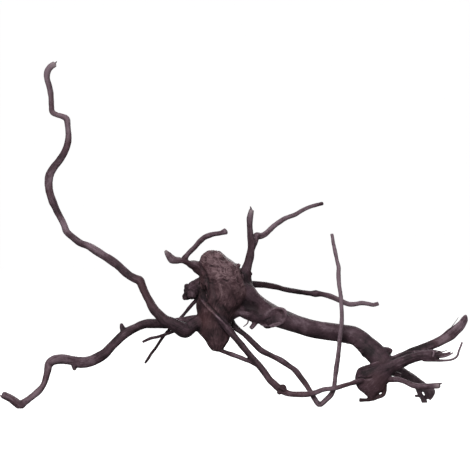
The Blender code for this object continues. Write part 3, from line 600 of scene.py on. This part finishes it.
# Strokes cut or raised on a massive part, seen from the front or the back; their change of tone is
# partly painted shade in grooves and painted highlight on ridges, partly the wood's own tone:
# (points (across, up), half width, height, change of tone)
FRONT_STROKES = [
    # the ridge that runs from the horn down the left side, with painted shade in the groove beside it
    # and painted shadow on the broad band below it
    ([(-50, 145.5), (-42, 143), (-35, 138), (-32, 131), (-32, 123)], 1.6, 0.5, 0.1),
    ([(-37, 143.5), (-30, 134.5), (-27, 125), (-27, 116)], 1.4, -0.9, -0.4),
    ([(-31, 136), (-31, 126), (-31, 114), (-28, 103)], 5.4, 0.0, -1.2),
    ([(-35, 124), (-33, 114), (-29.5, 103)], 3.4, 0.0, -1.5),
    # the front root's upper edge, with a painted highlight along it and painted shade in the groove
    # below
    ([(-39, 117), (-36, 110), (-31, 102.5), (-24, 95), (-12, 84), (-4, 75)], 1.2, 0.8, 0.6),
    ([(-30, 105), (-24, 99), (-16, 90.5), (-7, 80)], 1.0, -0.8, -0.3),
    # open fissures, painted dark inside as shade, and a broad painted shade beside them
    ([(-36, 124), (-34, 119.6), (-33, 114.4)], 1.3, -3.0, -2.0),
    ([(-33.6, 116.6), (-31.4, 110), (-29, 103.6)], 1.5, -3.0, -2.0),
    ([(-30.6, 121), (-29.4, 115), (-27.6, 108)], 1.0, -2.4, -1.6),
    ([(-24.5, 125), (-23, 113), (-20, 102)], 3.8, 0.0, -1.0),
    # long folds of the burl
    ([(-18, 135), (-15.6, 124), (-13.5, 113), (-12, 106)], 2.2, 0.5, 0.4),
    ([(-23.5, 131), (-21.5, 118), (-18, 105), (-13, 94)], 2.0, -0.6, -0.35),
    ([(-10, 113), (-6, 105), (-3, 98)], 2.0, 0.4, 0.3),
    ([(-15, 104), (-9.5, 97), (-4, 90)], 1.4, -0.5, -0.25),
    ([(-5, 116), (0.5, 108), (3, 100)], 1.4, -0.4, -0.25),
    ([(-13, 129.8), (-9, 128), (-4.4, 128.8)], 1.2, 0.25, 0.15),
    ([(-12, 127.6), (-9, 125.2), (-5, 126)], 0.9, -0.4, -0.35),
    ([(-24, 150), (-18, 147.5), (-11, 146), (-5, 141)], 1.1, -0.35, -0.25),
    ([(-27, 142), (-20, 139.5), (-13, 139), (-6, 134)], 1.2, -0.35, -0.2),
    ([(-24, 136), (-17, 133.5), (-8, 133), (0, 131)], 1.2, 0.3, 0.2),
    # where the burl meets the antler and the thick root: painted shade in the valley along the antler's
    # base and in the pocket
    ([(9, 134), (9, 125), (11, 118)], 4.5, 0.0, -0.5),
    ([(7.4, 133), (6.8, 126), (7.6, 119)], 1.8, 1.0, 0.6),
    ([(6, 106.5), (12, 101.5), (19, 98), (26, 95.6)], 4.8, 0.0, -1.6),
    ([(3, 93), (10, 92.4), (17, 91)], 1.6, 0.4, 0.35),
    # inside the torn collar: painted shade in the cup and its crescents, and a paler line along the
    # lower rim
    ([(30.4, 85.6), (32.6, 87.8), (34.6, 88.2)], 1.3, -0.3, -1.0),
    ([(44.6, 96), (47.6, 94), (48.4, 90), (47, 86.5)], 1.3, -0.2, -0.7),
    ([(33, 89.5), (37, 88.6), (41, 89)], 4.0, 0.0, -0.9),
    ([(29, 82), (33, 80), (40, 82.4), (47, 83.6)], 0.9, 0.5, 1.0),
    # the thick root: a painted highlight along its upper middle, uneven painted shade below and where it
    # bends down to the stump
    ([(54, 89), (72, 83), (92, 80), (110, 77), (122, 71.5)], 4.0, 0.0, 0.35),
    ([(52, 76.5), (70, 70.6), (90, 67.6), (108, 65.6), (120, 61)], 3.0, 0.0, -0.6),
    ([(78, 76), (86, 74.6)], 5.0, 0.0, -0.35),
    ([(124, 63), (132, 56), (140, 49)], 7.0, 0.0, -0.9),
    ([(112, 64), (114, 61.5)], 1.6, 0.7, 0.0),
    ([(119, 62), (121.6, 57.6)], 1.5, 0.8, 0.0),
    ([(124.6, 57), (127.4, 52)], 1.6, 0.9, -0.2),
    # the knots where the front root bends
    ([(44.6, 20.6), (50, 19)], 2.4, 0.3, -1.8),
    ([(41.6, 14.2), (45, 12.4)], 1.8, 0.3, -1.3),
    ([(49.6, 13.6), (46.4, 15.4), (42.6, 16.8)], 0.7, -0.9, -1.4),
]
BACK_STROKES = [
    ([(-36, 140), (-30, 128), (-26, 114), (-23, 98), (-20, 82)], 1.6, -1.2, -0.5),
    ([(-31, 141), (-25, 129), (-20, 114), (-18, 98), (-17, 84), (-18, 68)], 1.8, 0.8, 0.3),
    ([(-14, 146), (-10, 134), (-9, 120), (-5, 106), (0, 98)], 1.4, -1.1, -0.5),
    ([(-6, 143), (-2, 130), (0, 117), (8, 106), (20, 99)], 1.8, 0.7, 0.3),
    ([(-24, 120), (-22.6, 112), (-23.4, 105)], 1.1, -3.2, -1.2),
    ([(-12, 106), (-11, 95), (-14, 82), (-15, 70)], 1.3, -0.9, -0.4),
]
FAN_STROKES = [
    # painted shade under the plate's upper edge, and a paler patch lower down
    ([(126, 31), (133, 34), (140, 36)], 4.5, 0.0, -0.9),
    ([(127, 19), (138, 18), (147, 26)], 6.0, 0.0, 0.6),
    # the slit of the plate, painted dark inside as shade, the fold that runs on from it, and a painted
    # highlight along the upper edge above
    ([(122, 28.6), (130, 27.6), (138, 28.8)], 0.8, -1.5, -1.0),
    ([(138, 28.8), (154.6, 37.2), (165, 43), (175, 47)], 1.1, -0.25, -0.25),
    ([(123.4, 38), (136.6, 42.2), (155.8, 48), (172.6, 54.2), (196, 55.4)], 0.8, 0.5, 0.7),
    # the wing: painted shade in the groove at its base and in its smaller grooves, painted highlights
    # along its upper edge and middle, dark at the tip
    ([(161, 50.5), (175, 56), (187, 60), (197, 62.6), (204, 65)], 2.8, -0.4, -2.2),
    ([(158, 51), (170, 57), (182, 63), (194, 67), (204, 70.4)], 0.9, 0.4, 1.6),
    ([(202, 62), (209, 65.6), (216, 70.6)], 3.2, 0.1, 1.4),
    ([(212, 68), (219, 73.5), (225, 80)], 1.4, -0.2, -0.5),
    ([(200, 67.5), (209, 72), (217, 78.5), (224, 85.5)], 0.7, -0.4, -0.5),
    ([(227, 84), (229.4, 88), (230.6, 90.5)], 2.8, 0.3, -1.5),
    # the finger's torn end
    ([(198, 56), (198.8, 52), (197.6, 48.6)], 0.8, 0.9, 1.5),
    ([(201.6, 53.4), (202.6, 50), (201.6, 47.6)], 2.2, -0.4, -1.3),
    ([(160, 40.6), (175, 47.6), (194, 50.4)], 1.2, -0.12, -0.15),
]
# Ringed wrinkles of the crown: (middle, spacing, reach, rise, change of tone)
WRINKLES = [
    ((-6.5, 136), 2.8, 10.0, 0.3, 0.0),
    ((-30, 147), 3.0, 5.6, 0.6, 0.7),   # a healed knot
]
WRINKLED_FROM = 118
CUP = (39.6, 88.8)          # the shallow cup inside the torn collar
CUP_REACH = (6.5, 5.5)


def to_line(drawn, line):
    """Distance of drawn points from a line, and how far along it they lie, from 0 to 1."""
    best = np.full(len(drawn), np.inf)
    along = np.zeros(len(drawn))
    for k, (start, end) in enumerate(zip(line, line[1:])):
        run = end - start
        share = np.clip((drawn - start) @ run / (run @ run), 0, 1)
        gap = np.linalg.norm(drawn - start - share[:, None] * run, axis=1)
        closer = gap < best
        best[closer] = gap[closer]
        along[closer] = ((k + share) / (len(line) - 1))[closer]
    return best, along


STROKE_SEED = 900
STROKE_STEP = 1.5
STROKE_REACH = 3        # how many half widths a stroke reaches
STROKE_END = 1 / 6      # share of its length in which a stroke fades in or out
STROKE_WANDER = 0.25    # how much its width wanders, in waves of three millimetres


def sculpt(drawn, facing, strokes):
    """(rise, tone) that strokes give to drawn points that face the viewer; the tone is partly painted
    shade and highlight.
    """
    rise = np.zeros(len(drawn))
    tone = np.zeros(len(drawn))
    for points, width, height, shade in strokes:
        line = smooth_run(points, STROKE_STEP)
        reach = STROKE_REACH * width
        inside = (drawn > line.min(axis=0) - reach) & (drawn < line.max(axis=0) + reach)
        chosen = np.flatnonzero(inside.all(axis=1) & (facing > 0))
        gap, along = to_line(drawn[chosen], line)
        fade = np.clip(np.minimum(along, 1 - along) / STROKE_END, 0, 1)
        waves = steady_noise(np.column_stack((drawn[chosen] / 3, along)), STROKE_SEED)
        wander = 1 + STROKE_WANDER * waves
        bell = np.exp(-(gap / (width * wander)) ** 2) * fade * facing[chosen]
        rise[chosen] += height * bell
        tone[chosen] += shade * bell
    return rise, tone


def rings(drawn, middle, spacing, reach):
    """Concentric wrinkles that fade outwards."""
    out = drawn - middle
    level = np.zeros(len(out))
    warp = steady_noise(np.column_stack((out / 3.6, level)), 77)
    broken = np.clip(0.6 + 1.2 * steady_noise(np.column_stack((out / 3, level + 5)), 78), 0, 1)
    far = np.hypot(out[:, 0], 1.5 * out[:, 1]) + 2.2 * warp
    return broken * np.cos(2 * math.pi * far / spacing) * np.exp(-(far / reach) ** 2)


# Limbs whose last point is a free, broken end
FREE_ENDS = {"tall_branch", "antler", "front_root", "horn", "left_stub", "claw_foot"}
MASSIVE = {
    "burl", "thick_root", "shoulder", "horn", "antler", "arch_rim", "back_knob", "torn_collar",
    "under_bump", "front_root",
}
# Parts worn smooth: how much of their streaks is left
WORN = {"thick_root": 0.4, "shoulder": 0.5, "under_bump": 0.5}
STUMP = {"fan", "fan_wing", "fan_finger"}
# Tones evenly spaced along a limb, from its start to its tip: partly the wood's own tone, partly painted
# light and shade
TONES = {
    "tall_branch": (
        -1.2, -1.3, -1.4, -1.5, -0.8, -1.5, 1.0, -0.5, 0.4, -1.4, 0.1, -1.0, -0.7, 1.0, 0.1, 0.9, 1.8),
    "left_branch": (-0.4, -0.8, -1.1, -0.8, 0.3, -0.2, 0.4, -0.4), "thorn": (-1.8, -1.2),
    "long_twig": (-2.0, -2.1), "short_twig": (-1.8, -1.1), "back_knob": (-0.6, -1.6),
    "horn": (-1.0, -0.8, 0.4), "whip": (-1.0, -0.5, -0.4, 0.0), "antler": (-1.1, -1.3, -0.5, -0.2, 0.8),
    "antler_side": (-0.2, 0.0, 0.3, 0.5, 0.2, 0.3, 0.3, -0.1, 0.1, -1.0),
    "right_branch": (-2.1, -2.1, -2.1, -2.0, -1.9, -1.9, -1.4, -1.4, 0.4, 0.6, 1.2, 1.4, 0.0),
    "thick_root": (0.1, -0.5, -0.7, -1.0), "shoulder": (-0.6, -0.9), "broken_stub": (-0.3, -1.2),
    "under_bump": (-1.0, -0.6), "arch_rim": (-1.0, -0.6), "torn_collar": (-0.1, 0.1),
    "fan_nub": (-1.2, 0.2), "fan_wing": (-0.9, -0.6, 1.1), "fan_finger": (-0.7, -1.1),
    "splinter_high": (-1.3, 0.2), "splinter_mid": (-0.9, 0.2), "long_fibre": (-0.4, 0.2),
    "fan_fibre": (-2.5, -2.4), "claw": (0.4, 0.3, 1.1), "claw_foot": (0.4, 1.8),
    "claw_link": (0.6, 0.2), "claw_edge": (0.6, 1.8), "claw_spur": (0.8, 0.4), "claw_web": (0.6, 1.0),
    "arm_web": (-1.0, -1.0), "front_root": (-0.8, -1.5, -0.9, -0.9, 0.2, -0.2, -0.8, -0.8, 0.0),
    "side_root": (-1.5, -0.6),
    "loop_root": (-1.5, -2.4, -1.2, -0.9, -1.1, 0.0, -0.2, -0.1, 0.2, 0.3, 1.1, 1.0, 0.0),
}
USUAL_TONE = (-0.3, 0.1)
FAN_TONE = -0.8
# The burl is painted darker towards its foot, as shade under light from above, and paler at its crown
BURL_TONE_AND_SHADE = ((100, 130), (-0.85, 0.25))     # heights on the burl, and its tones there
BURL_WORN = ((114, 128), (1.0, 0.35))       # heights on the burl, and how much of its streaks is left
PALE_START = 1.3        # paleness at the very end of a broken limb, before it is held to 1
PALE_DEPTH = (1.2, 0.8)     # how far it reaches: times the tip's radius, and millimetres more
GRAIN_SHIFT = 37.0      # sets one limb's grain apart from the next one's


def read(mesh_items, field, width):
    values = np.empty(len(mesh_items) * width)
    mesh_items.foreach_get(field, values)
    return values.reshape(-1, width)


def spread(values, edges, rounds, share):
    """Values drawn towards their neighbours' mean, so many times over."""
    count = np.bincount(edges.ravel(), minlength=len(values))[:, None]
    for _ in range(rounds):
        total = np.empty_like(values)
        for axis in range(values.shape[1]):
            total[:, axis] = np.bincount(edges[:, 0], values[edges[:, 1], axis], len(values))
            total[:, axis] += np.bincount(edges[:, 1], values[edges[:, 0], axis], len(values))
        values = values + share * (total / count - values)
    return values


def grown(places, parts):
    """Relief, grain coordinates and marks of places on the fused skin."""
    count = len(places)
    drawn = sketched(places)
    state = {
        "weight": np.full(count, 1e-6), "best": np.zeros(count), "second": np.zeros(count),
        "rise": np.zeros(count), "grain": np.zeros((count, 3)), "owner": np.zeros(count, int),
        "pale": np.zeros(count), "tone": np.zeros(count),
    }
    for number, part in enumerate(parts):
        chosen = near(places, part)
        if isinstance(part, Mass):
            gap, flow = part.coordinates(places[chosen])
        else:
            gap, flow = limb_coordinates(part, places[chosen])
        weight = np.exp(-np.maximum(gap, 0) / BLEND)
        seed = 20 * number
        if part.name == "burl":
            rise = burl_relief(flow, drawn[chosen, 1], seed)
            # painted shade: the burl darker towards its foot
            tone = np.interp(drawn[chosen, 1], *BURL_TONE_AND_SHADE)
        elif part.name == "fan":
            flow = fan_flow(drawn[chosen], places[chosen, 1])
            rise = fan_relief(flow, seed)
            tone = FAN_TONE
        else:
            rise = limb_relief(flow, part.radius.mean(), seed) * WORN.get(part.name, 1.0)
            tones = TONES.get(part.name, USUAL_TONE)
            tone = np.interp(flow[:, 2], np.linspace(0, part.run[-1], len(tones)), tones)
        if part.name == "back_knob":
            rise += 0.5 * layered(flow / 4, seed + 11)
        state["weight"][chosen] += weight
        state["rise"][chosen] += weight * rise
        state["tone"][chosen] += weight * tone
        leads = weight > state["best"][chosen]
        state["second"][chosen] = np.where(leads, state["best"][chosen], np.maximum(
            state["second"][chosen], weight))
        state["best"][chosen] = np.maximum(state["best"][chosen], weight)
        led = chosen[leads]
        state["owner"][led] = number
        state["grain"][led] = flow[leads] + (GRAIN_SHIFT * number, 0, 0)
        if part.name in FREE_ENDS:
            left = part.run[-1] - flow[leads, 2]
            depth = PALE_DEPTH[0] * part.radius[-1] + PALE_DEPTH[1]
            state["pale"][led] = np.clip(PALE_START - left / depth, 0, 1)
        else:
            state["pale"][led] = 0
    state["rise"] /= state["weight"]
    state["tone"] /= state["weight"]
    state["fade"] = np.clip(2 * (state["best"] - state["second"]) / (state["best"] + 1e-6), 0, 1)
    state["worn"] = np.array([WORN.get(part.name, 1.0) for part in parts])[state["owner"]]
    burl = state["owner"] == [part.name for part in parts].index("burl")
    state["worn"][burl] = np.interp(drawn[burl, 1], *BURL_WORN)
    state["warm"] = burl.astype(float)
    return state, drawn


# Rounds of smoothing: all over and along seams, between massive parts, and for the reach of each
ROUNDS = 14
HEAVY_ROUNDS = 120
SEAM_REACH = 6
HEAVY_REACH = 24
# Sunken places painted darker as shade, and crests painted lighter as highlight: (mark, rounds of
# smoothing that they are measured from, full depth)
SHADED = (("hollow", 3, 0.12), ("broad", 14, 0.4))
SHADE_LIMIT = 1.5
TONE_LIMITS = (-2.5, 1.8)


def filleted(places, edges, drawn, seam, massive):
    """Places smoothed a little all over, more along seams, and most between massive parts."""
    heavy = spread(seam * massive, edges, HEAVY_REACH, 0.5)
    cup = np.exp(-(np.linalg.norm((drawn - CUP) / CUP_REACH, axis=1) ** 4))
    heavy += cup[:, None] * massive * (places[:, 1:2] < 0)
    places = spread(places, edges, HEAVY_ROUNDS, 0.55 * np.clip(2 * heavy, 0, 1))
    near_seam = np.clip(spread(seam, edges, SEAM_REACH, 0.5), 0, 1)
    return spread(places, edges, ROUNDS, 0.1 + 0.5 * near_seam)


def carve(piece, parts):
    """Gives the fused skin its fillets, relief and marks."""
    mesh = piece.data
    places = read(mesh.vertices, "co", 3) / MM
    edges = read(mesh.edges, "vertices", 2).astype(int)
    state, drawn = grown(places, parts)
    names = np.array([part.name for part in parts])[state["owner"]]
    massive = np.isin(names, list(MASSIVE))
    stump = np.isin(names, list(STUMP))
    seam = 1 - state["fade"][:, None]
    places = filleted(places, edges, drawn, seam, (massive & (names != "front_root"))[:, None])
    mesh.vertices.foreach_set("co", (places * MM).ravel())
    mesh.update()
    normals = read(mesh.vertex_normals, "vector", 3)
    rise = state["rise"].copy()
    tone = state["tone"].copy()
    front = np.clip(0.15 - 2.0 * normals[:, 1], 0, 1)
    back = np.clip(1.6 * normals[:, 1], 0, 1)
    for facing, strokes, where in (
            (front, FRONT_STROKES, massive), (back, BACK_STROKES, massive), (front, FAN_STROKES, stump)):
        more, shade = sculpt(drawn, facing * where, strokes)
        rise += more
        tone += shade
    crown = massive * front * (drawn[:, 1] > WRINKLED_FROM)
    for middle, spacing, reach, height, shade in WRINKLES:
        ring = crown * rings(drawn, middle, spacing, reach)
        rise += height * ring
        tone += shade * ring
    places = places + normals * rise[:, None]
    places[:, 2] = np.maximum(places[:, 2], 0)
    mesh.vertices.foreach_set("co", (places * MM).ravel())
    worn = spread(state["worn"][:, None], edges, 10, 0.5)[:, 0]
    put(mesh, "grain", state["grain"])
    put(mesh, "fade", state["fade"] * worn)
    put(mesh, "warm", spread(state["warm"][:, None], edges, 10, 0.5)[:, 0])
    # the tone mark holds the wood's own tone together with painted light and shade
    put(mesh, "tone", np.clip(tone, *TONE_LIMITS))
    put(mesh, "pale", state["pale"])
    # painted shade and highlight: how far each place lies below or above its smoothed neighbours
    for name, rounds, depth in SHADED:
        sunk = np.einsum("ij,ij->i", spread(places, edges, rounds, 0.6) - places, normals)
        put(mesh, name, np.clip(sunk / depth, -SHADE_LIMIT, SHADE_LIMIT))
    mesh.update()


def put(mesh, name, values):
    """Stores numbers, or vectors, on the mesh's corners."""
    kind, field = ("FLOAT", "value") if values.ndim == 1 else ("FLOAT_VECTOR", "vector")
    mesh.attributes.new(name, kind, "POINT").data.foreach_set(field, values.astype(np.float32).ravel())


def thin_out(piece):
    """Fewer, well-placed triangles."""
    triangles = 2 * len(piece.data.polygons)
    fewer = piece.modifiers.new("fewer", "DECIMATE")
    fewer.ratio = MOST_TRIANGLES / triangles
    applied(piece)


# Torn fibres too fine for the fused skin: points (across, up, back, radius), from the wood to the tip
TORN_FIBRES = [
    [
        (13.8, 89, -8, 0.9), (13.2, 85.5, -8.5, 0.8), (12.6, 83, -9, 0.7), (10, 80.5, -9.5, 0.6),
        (8.3, 79.3, -10, 0.4),
    ],
    [
        (214.6, 76, 12, 0.5), (217, 79.6, 11, 0.35), (219.5, 83, 11, 0.3), (222, 86.6, 12, 0.25),
        (223.5, 89, 13, 0.15),
    ],
    [(209, 71.6, 10, 0.6), (212.6, 75.6, 10, 0.35), (215.6, 78.4, 10, 0.2)],
    [(196, 53, -16, 1.1), (199, 53.8, -18, 0.9), (206, 54, -19.5, 0.7), (212, 55.6, -20, 0.4)],
    [(200, 51, -19, 1.1), (204, 51, -20.5, 0.9), (211, 51.6, -22, 0.7), (216, 54.4, -23, 0.4)],
    [(188, 53, -12, 1.0), (192, 56, -13, 0.9), (198, 55.8, -15, 0.7), (206, 54.6, -17, 0.4)],
    [(-181.6, 341, 35, 1.1), (-179.4, 343.2, 35, 0.8), (-178.2, 344.6, 35, 0.4)],
    [(-230.6, 9.6, -61, 1.3), (-234, 10, -61.6, 0.9), (-235.2, 10.6, -62, 0.4)],
    [(16.2, 195, -16, 1.1), (15.8, 198, -16, 0.8), (15.4, 199.6, -16, 0.4)],
    [(203, 21.6, -24.6, 1.1), (206, 22.6, -25, 0.8), (207.6, 23.2, -25, 0.4)],
]
FIBRE_TONE = (-1.2, 0.2)        # at the wood, and at the tip
FIBRE_FADE = (1.0, 0.5)
FIBRE_SHIFT = 11.0      # sets one fibre's grain apart from the next one's


def add_torn_fibres():
    """Fine splinters and hairs at the torn places."""
    shapes = []
    rows = []
    for number, points in enumerate(TORN_FIBRES):
        fibre = Limb("torn_fibre", points)
        corners, faces = fibre.tube(0.0)
        flow = limb_coordinates(fibre, corners)[1]
        shapes.append((corners, faces))
        rows.append(np.column_stack((flow + (FIBRE_SHIFT * number, 0, 0), flow[:, 2] / fibre.run[-1])))
    mesh = mesh_of("torn_fibres", shapes)
    rows = np.vstack(rows)
    put(mesh, "grain", rows[:, :3])
    for name, (start, tip) in (("fade", FIBRE_FADE), ("tone", FIBRE_TONE)):
        put(mesh, name, start + (tip - start) * rows[:, 3])
    return add_object("torn_fibres", mesh)


class Shader:
    """Short-hand for a material's nodes."""

    def __init__(self, name):
        self.material = bpy.data.materials.new(name)
        self.material.use_nodes = True
        self.nodes = self.material.node_tree.nodes
        self.links = self.material.node_tree.links
        self.out = self.nodes["Principled BSDF"]

    def node(self, kind, settings=None, **inputs):
        made = self.nodes.new("ShaderNode" + kind)
        for name, value in (settings or {}).items():
            setattr(made, name, value)
        for name, value in inputs.items():
            self.feed(made.inputs[name.replace("_", " ")], value)
        return made

    def feed(self, socket, value):
        if isinstance(value, bpy.types.NodeSocket):
            self.links.new(value, socket)
        else:
            socket.default_value = value

    def mark(self, name, kind="Fac"):
        """A number, or a vector, that the mesh carries."""
        return self.node("Attribute", {"attribute_name": name}).outputs[kind]

    def math(self, operation, *values):
        made = self.node("Math", {"operation": operation})
        for socket, value in zip(made.inputs, values):
            self.feed(socket, value)
        return made.outputs[0]

    def noise(self, vector, scale, detail, roughness):
        return self.node(
            "TexNoise", Vector=vector, Scale=scale, Detail=detail, Roughness=roughness).outputs["Fac"]

    def ramp(self, factor, stops):
        made = self.node("ValToRGB", Fac=factor)
        ramp = made.color_ramp
        while len(ramp.elements) < len(stops):
            ramp.elements.new(0.5)
        for element, (level, colour) in zip(ramp.elements, stops):
            element.position = level
            element.color = (*colour, 1.0)
        return made.outputs["Color"]

    def mix(self, factor, first, second, blend="MIX"):
        made = self.node("Mix", {"data_type": "RGBA", "blend_type": blend})
        for number, value in ((0, factor), (6, first), (7, second)):
            if isinstance(value, tuple):
                value = (*value, 1.0)
            self.feed(made.inputs[number], value)
        return made.outputs[2]


DARK = (0.0095, 0.0048, 0.0066)
MIDDLE = (0.043, 0.0228, 0.0300)
LIGHT = (0.133, 0.092, 0.110)
RED = (0.055, 0.0235, 0.0260)
GREY = (0.19, 0.155, 0.158)
WARMTH = (1.0, 0.90, 0.82)  # what the burl's browner wood lets through of each colour
# Levels run from 0, dark, to 1, light: the plain wood's, the middle colour's, and what moves them
PLAIN_LEVEL = 0.52
MIDDLE_LEVEL = 0.45
STREAKS = 1.1
BLOTCHES = 1.3
PITS = 0.45
# Marks that move the level; hollow and broad paint shade into sunken places and highlight onto crests
MARKS = (("tone", 0.28), ("hollow", -0.16), ("broad", -0.2))
SHINE = 0.2
BUMP_STRENGTH = 0.55
BUMP_DEPTH = 0.0005     # metres


def wood_material():
    """Dark purple-brown wood: long fibres, blotches, painted shade in creases, painted highlight on
    crests and pale broken ends.
    """
    s = Shader("wood")

    def swung(level, strength, middle):
        """The middle, moved by a level that swings round a half."""
        return s.math("MULTIPLY_ADD", s.math("SUBTRACT", level, 0.5), strength, middle)

    place_on = s.node("TexCoord").outputs["Object"]
    stretch = s.node(
        "Mapping", Vector=s.mark("grain", "Vector"), Scale=(1.0, 1.0, 0.085)).outputs["Vector"]
    fibres = s.noise(stretch, 1.1, 5.0, 0.62)
    fine = s.noise(stretch, 3.1, 3.0, 0.55)
    blotch = s.noise(place_on, 85.0, 4.0, 0.6)
    broad = s.noise(place_on, 22.0, 2.0, 0.5)
    pitted = s.noise(place_on, 520.0, 3.0, 0.6)
    fade = s.mark("fade")
    streak = swung(fibres, fade, 0.5)
    level = swung(streak, STREAKS, PLAIN_LEVEL)
    level = swung(blotch, BLOTCHES, level)
    level = swung(pitted, PITS, level)
    for name, step in MARKS:
        level = s.math("MULTIPLY_ADD", s.mark(name), step, level)
    colour = s.ramp(level, ((0.0, DARK), (MIDDLE_LEVEL, MIDDLE), (1.0, LIGHT)))
    reddish = s.math("MULTIPLY", s.math("SUBTRACT", broad, 0.52), 2.2)
    colour = s.mix(s.math("MAXIMUM", reddish, 0.0), colour, RED)
    colour = s.mix(s.mark("warm"), colour, WARMTH, "MULTIPLY")
    pale = s.math("MULTIPLY", s.mark("pale"), s.math("MULTIPLY", fibres, 1.1))
    height = s.math("MULTIPLY_ADD", s.math("MULTIPLY", fine, fade), 0.6, s.math("MULTIPLY", pitted, 0.5))
    height = s.math("MULTIPLY_ADD", streak, 0.8, height)
    bump = s.node("Bump", Height=height, Strength=BUMP_STRENGTH, Distance=BUMP_DEPTH)
    s.feed(s.out.inputs["Base Color"], s.mix(pale, colour, GREY))
    s.feed(s.out.inputs["Roughness"], s.math("MULTIPLY_ADD", fine, 0.35, 0.55))
    s.feed(s.out.inputs["Specular IOR Level"], SHINE)
    s.feed(s.out.inputs["Normal"], bump.outputs["Normal"])
    return s.material


STAGE_RADIUS = 15.0        # metres, of the floor and the backdrop
FLOOR_COLOUR = (0.25, 0.25, 0.25)
FLOOR_GLOW = 0.95          # the floor glows almost as white as the backdrop, as a light table does
AMBIENT = 0.2
LAMPS = [
    # (place, size, power), metres and watts, aimed at the middle of the root
    ((-0.5, -2.6, 1.2), 1.5, 112.0),
    ((0.1, -0.3, 2.2), 1.6, 16.0),
    ((0.8, 2.3, 1.5), 1.6, 90.0),
]
AIM = (0.0, 0.0, 0.12)


def glowing(name, colour, strength):
    """A plain matt material that also shines white."""
    s = Shader(name)
    for field, value in (
            ("Base Color", (*colour, 1.0)), ("Roughness", 0.9),
            ("Emission Color", (1.0, 1.0, 1.0, 1.0)), ("Emission Strength", strength)):
        s.feed(s.out.inputs[field], value)
    return s.material


def add_stage():
    """A round floor under a white dome, both seen but lighting nothing."""
    floor = bmesh.new()
    bmesh.ops.create_circle(floor, cap_ends=True, segments=96, radius=STAGE_RADIUS)
    dome = bmesh.new()
    bmesh.ops.create_uvsphere(dome, u_segments=64, v_segments=32, radius=STAGE_RADIUS)
    for name, bm, colour, glow in (
            ("floor", floor, FLOOR_COLOUR, FLOOR_GLOW), ("backdrop", dome, (0.0, 0.0, 0.0), 1.0)):
        mesh = bpy.data.meshes.new(name)
        bm.to_mesh(mesh)
        bm.free()
        mesh.materials.append(glowing(name, colour, glow))
        piece = add_object(name, mesh)
        piece.visible_diffuse = False
        piece.visible_glossy = False
        piece.visible_shadow = False


def add_light():
    world = bpy.data.worlds.new("studio")
    world.use_nodes = True
    background = world.node_tree.nodes["Background"]
    background.inputs["Color"].default_value = (1.0, 1.0, 1.0, 1.0)
    background.inputs["Strength"].default_value = AMBIENT
    bpy.context.scene.world = world
    for number, (spot, size, power) in enumerate(LAMPS):
        lamp = bpy.data.lights.new(f"lamp_{number}", "AREA")
        lamp.shape = "SQUARE"
        lamp.size = size
        lamp.energy = power
        holder = bpy.data.objects.new(f"lamp_{number}", lamp)
        holder.location = spot
        holder.rotation_euler = (Vector(AIM) - Vector(spot)).to_track_quat("-Z", "Y").to_euler()
        bpy.context.scene.collection.objects.link(holder)


def add_camera():
    """A level camera at the sketch's eye."""
    data = bpy.data.cameras.new("camera")
    data.sensor_width = SENSOR
    data.lens = SENSOR * SIGHT_DISTANCE / PHOTO_WIDTH
    camera = bpy.data.objects.new("camera", data)
    camera.location = place((0, EYE_HEIGHT, -SIGHT_DISTANCE)) * MM
    camera.rotation_euler = (math.pi / 2, 0, 0)
    bpy.context.scene.collection.objects.link(camera)
    bpy.context.scene.camera = camera


def build():
    limbs = [Limb(name, points, FLAT.get(name, 1.0)) for name, points in LIMBS.items()]
    root = fused_root(limbs)
    carve(root, [Mass("burl", BODY, BODY_DEPTH), Mass("fan", FAN, FAN_DEPTH)] + limbs)
    thin_out(root)
    fibres = add_torn_fibres()
    wood = wood_material()
    for piece in (root, fibres):
        piece.data.materials.clear()
        piece.data.materials.append(wood)
        piece.data.shade_smooth()
        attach(piece, "root")
    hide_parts(NODE)


bpy.context.scene.view_settings.view_transform = "Standard"
build()
add_stage()
add_light()
add_camera()
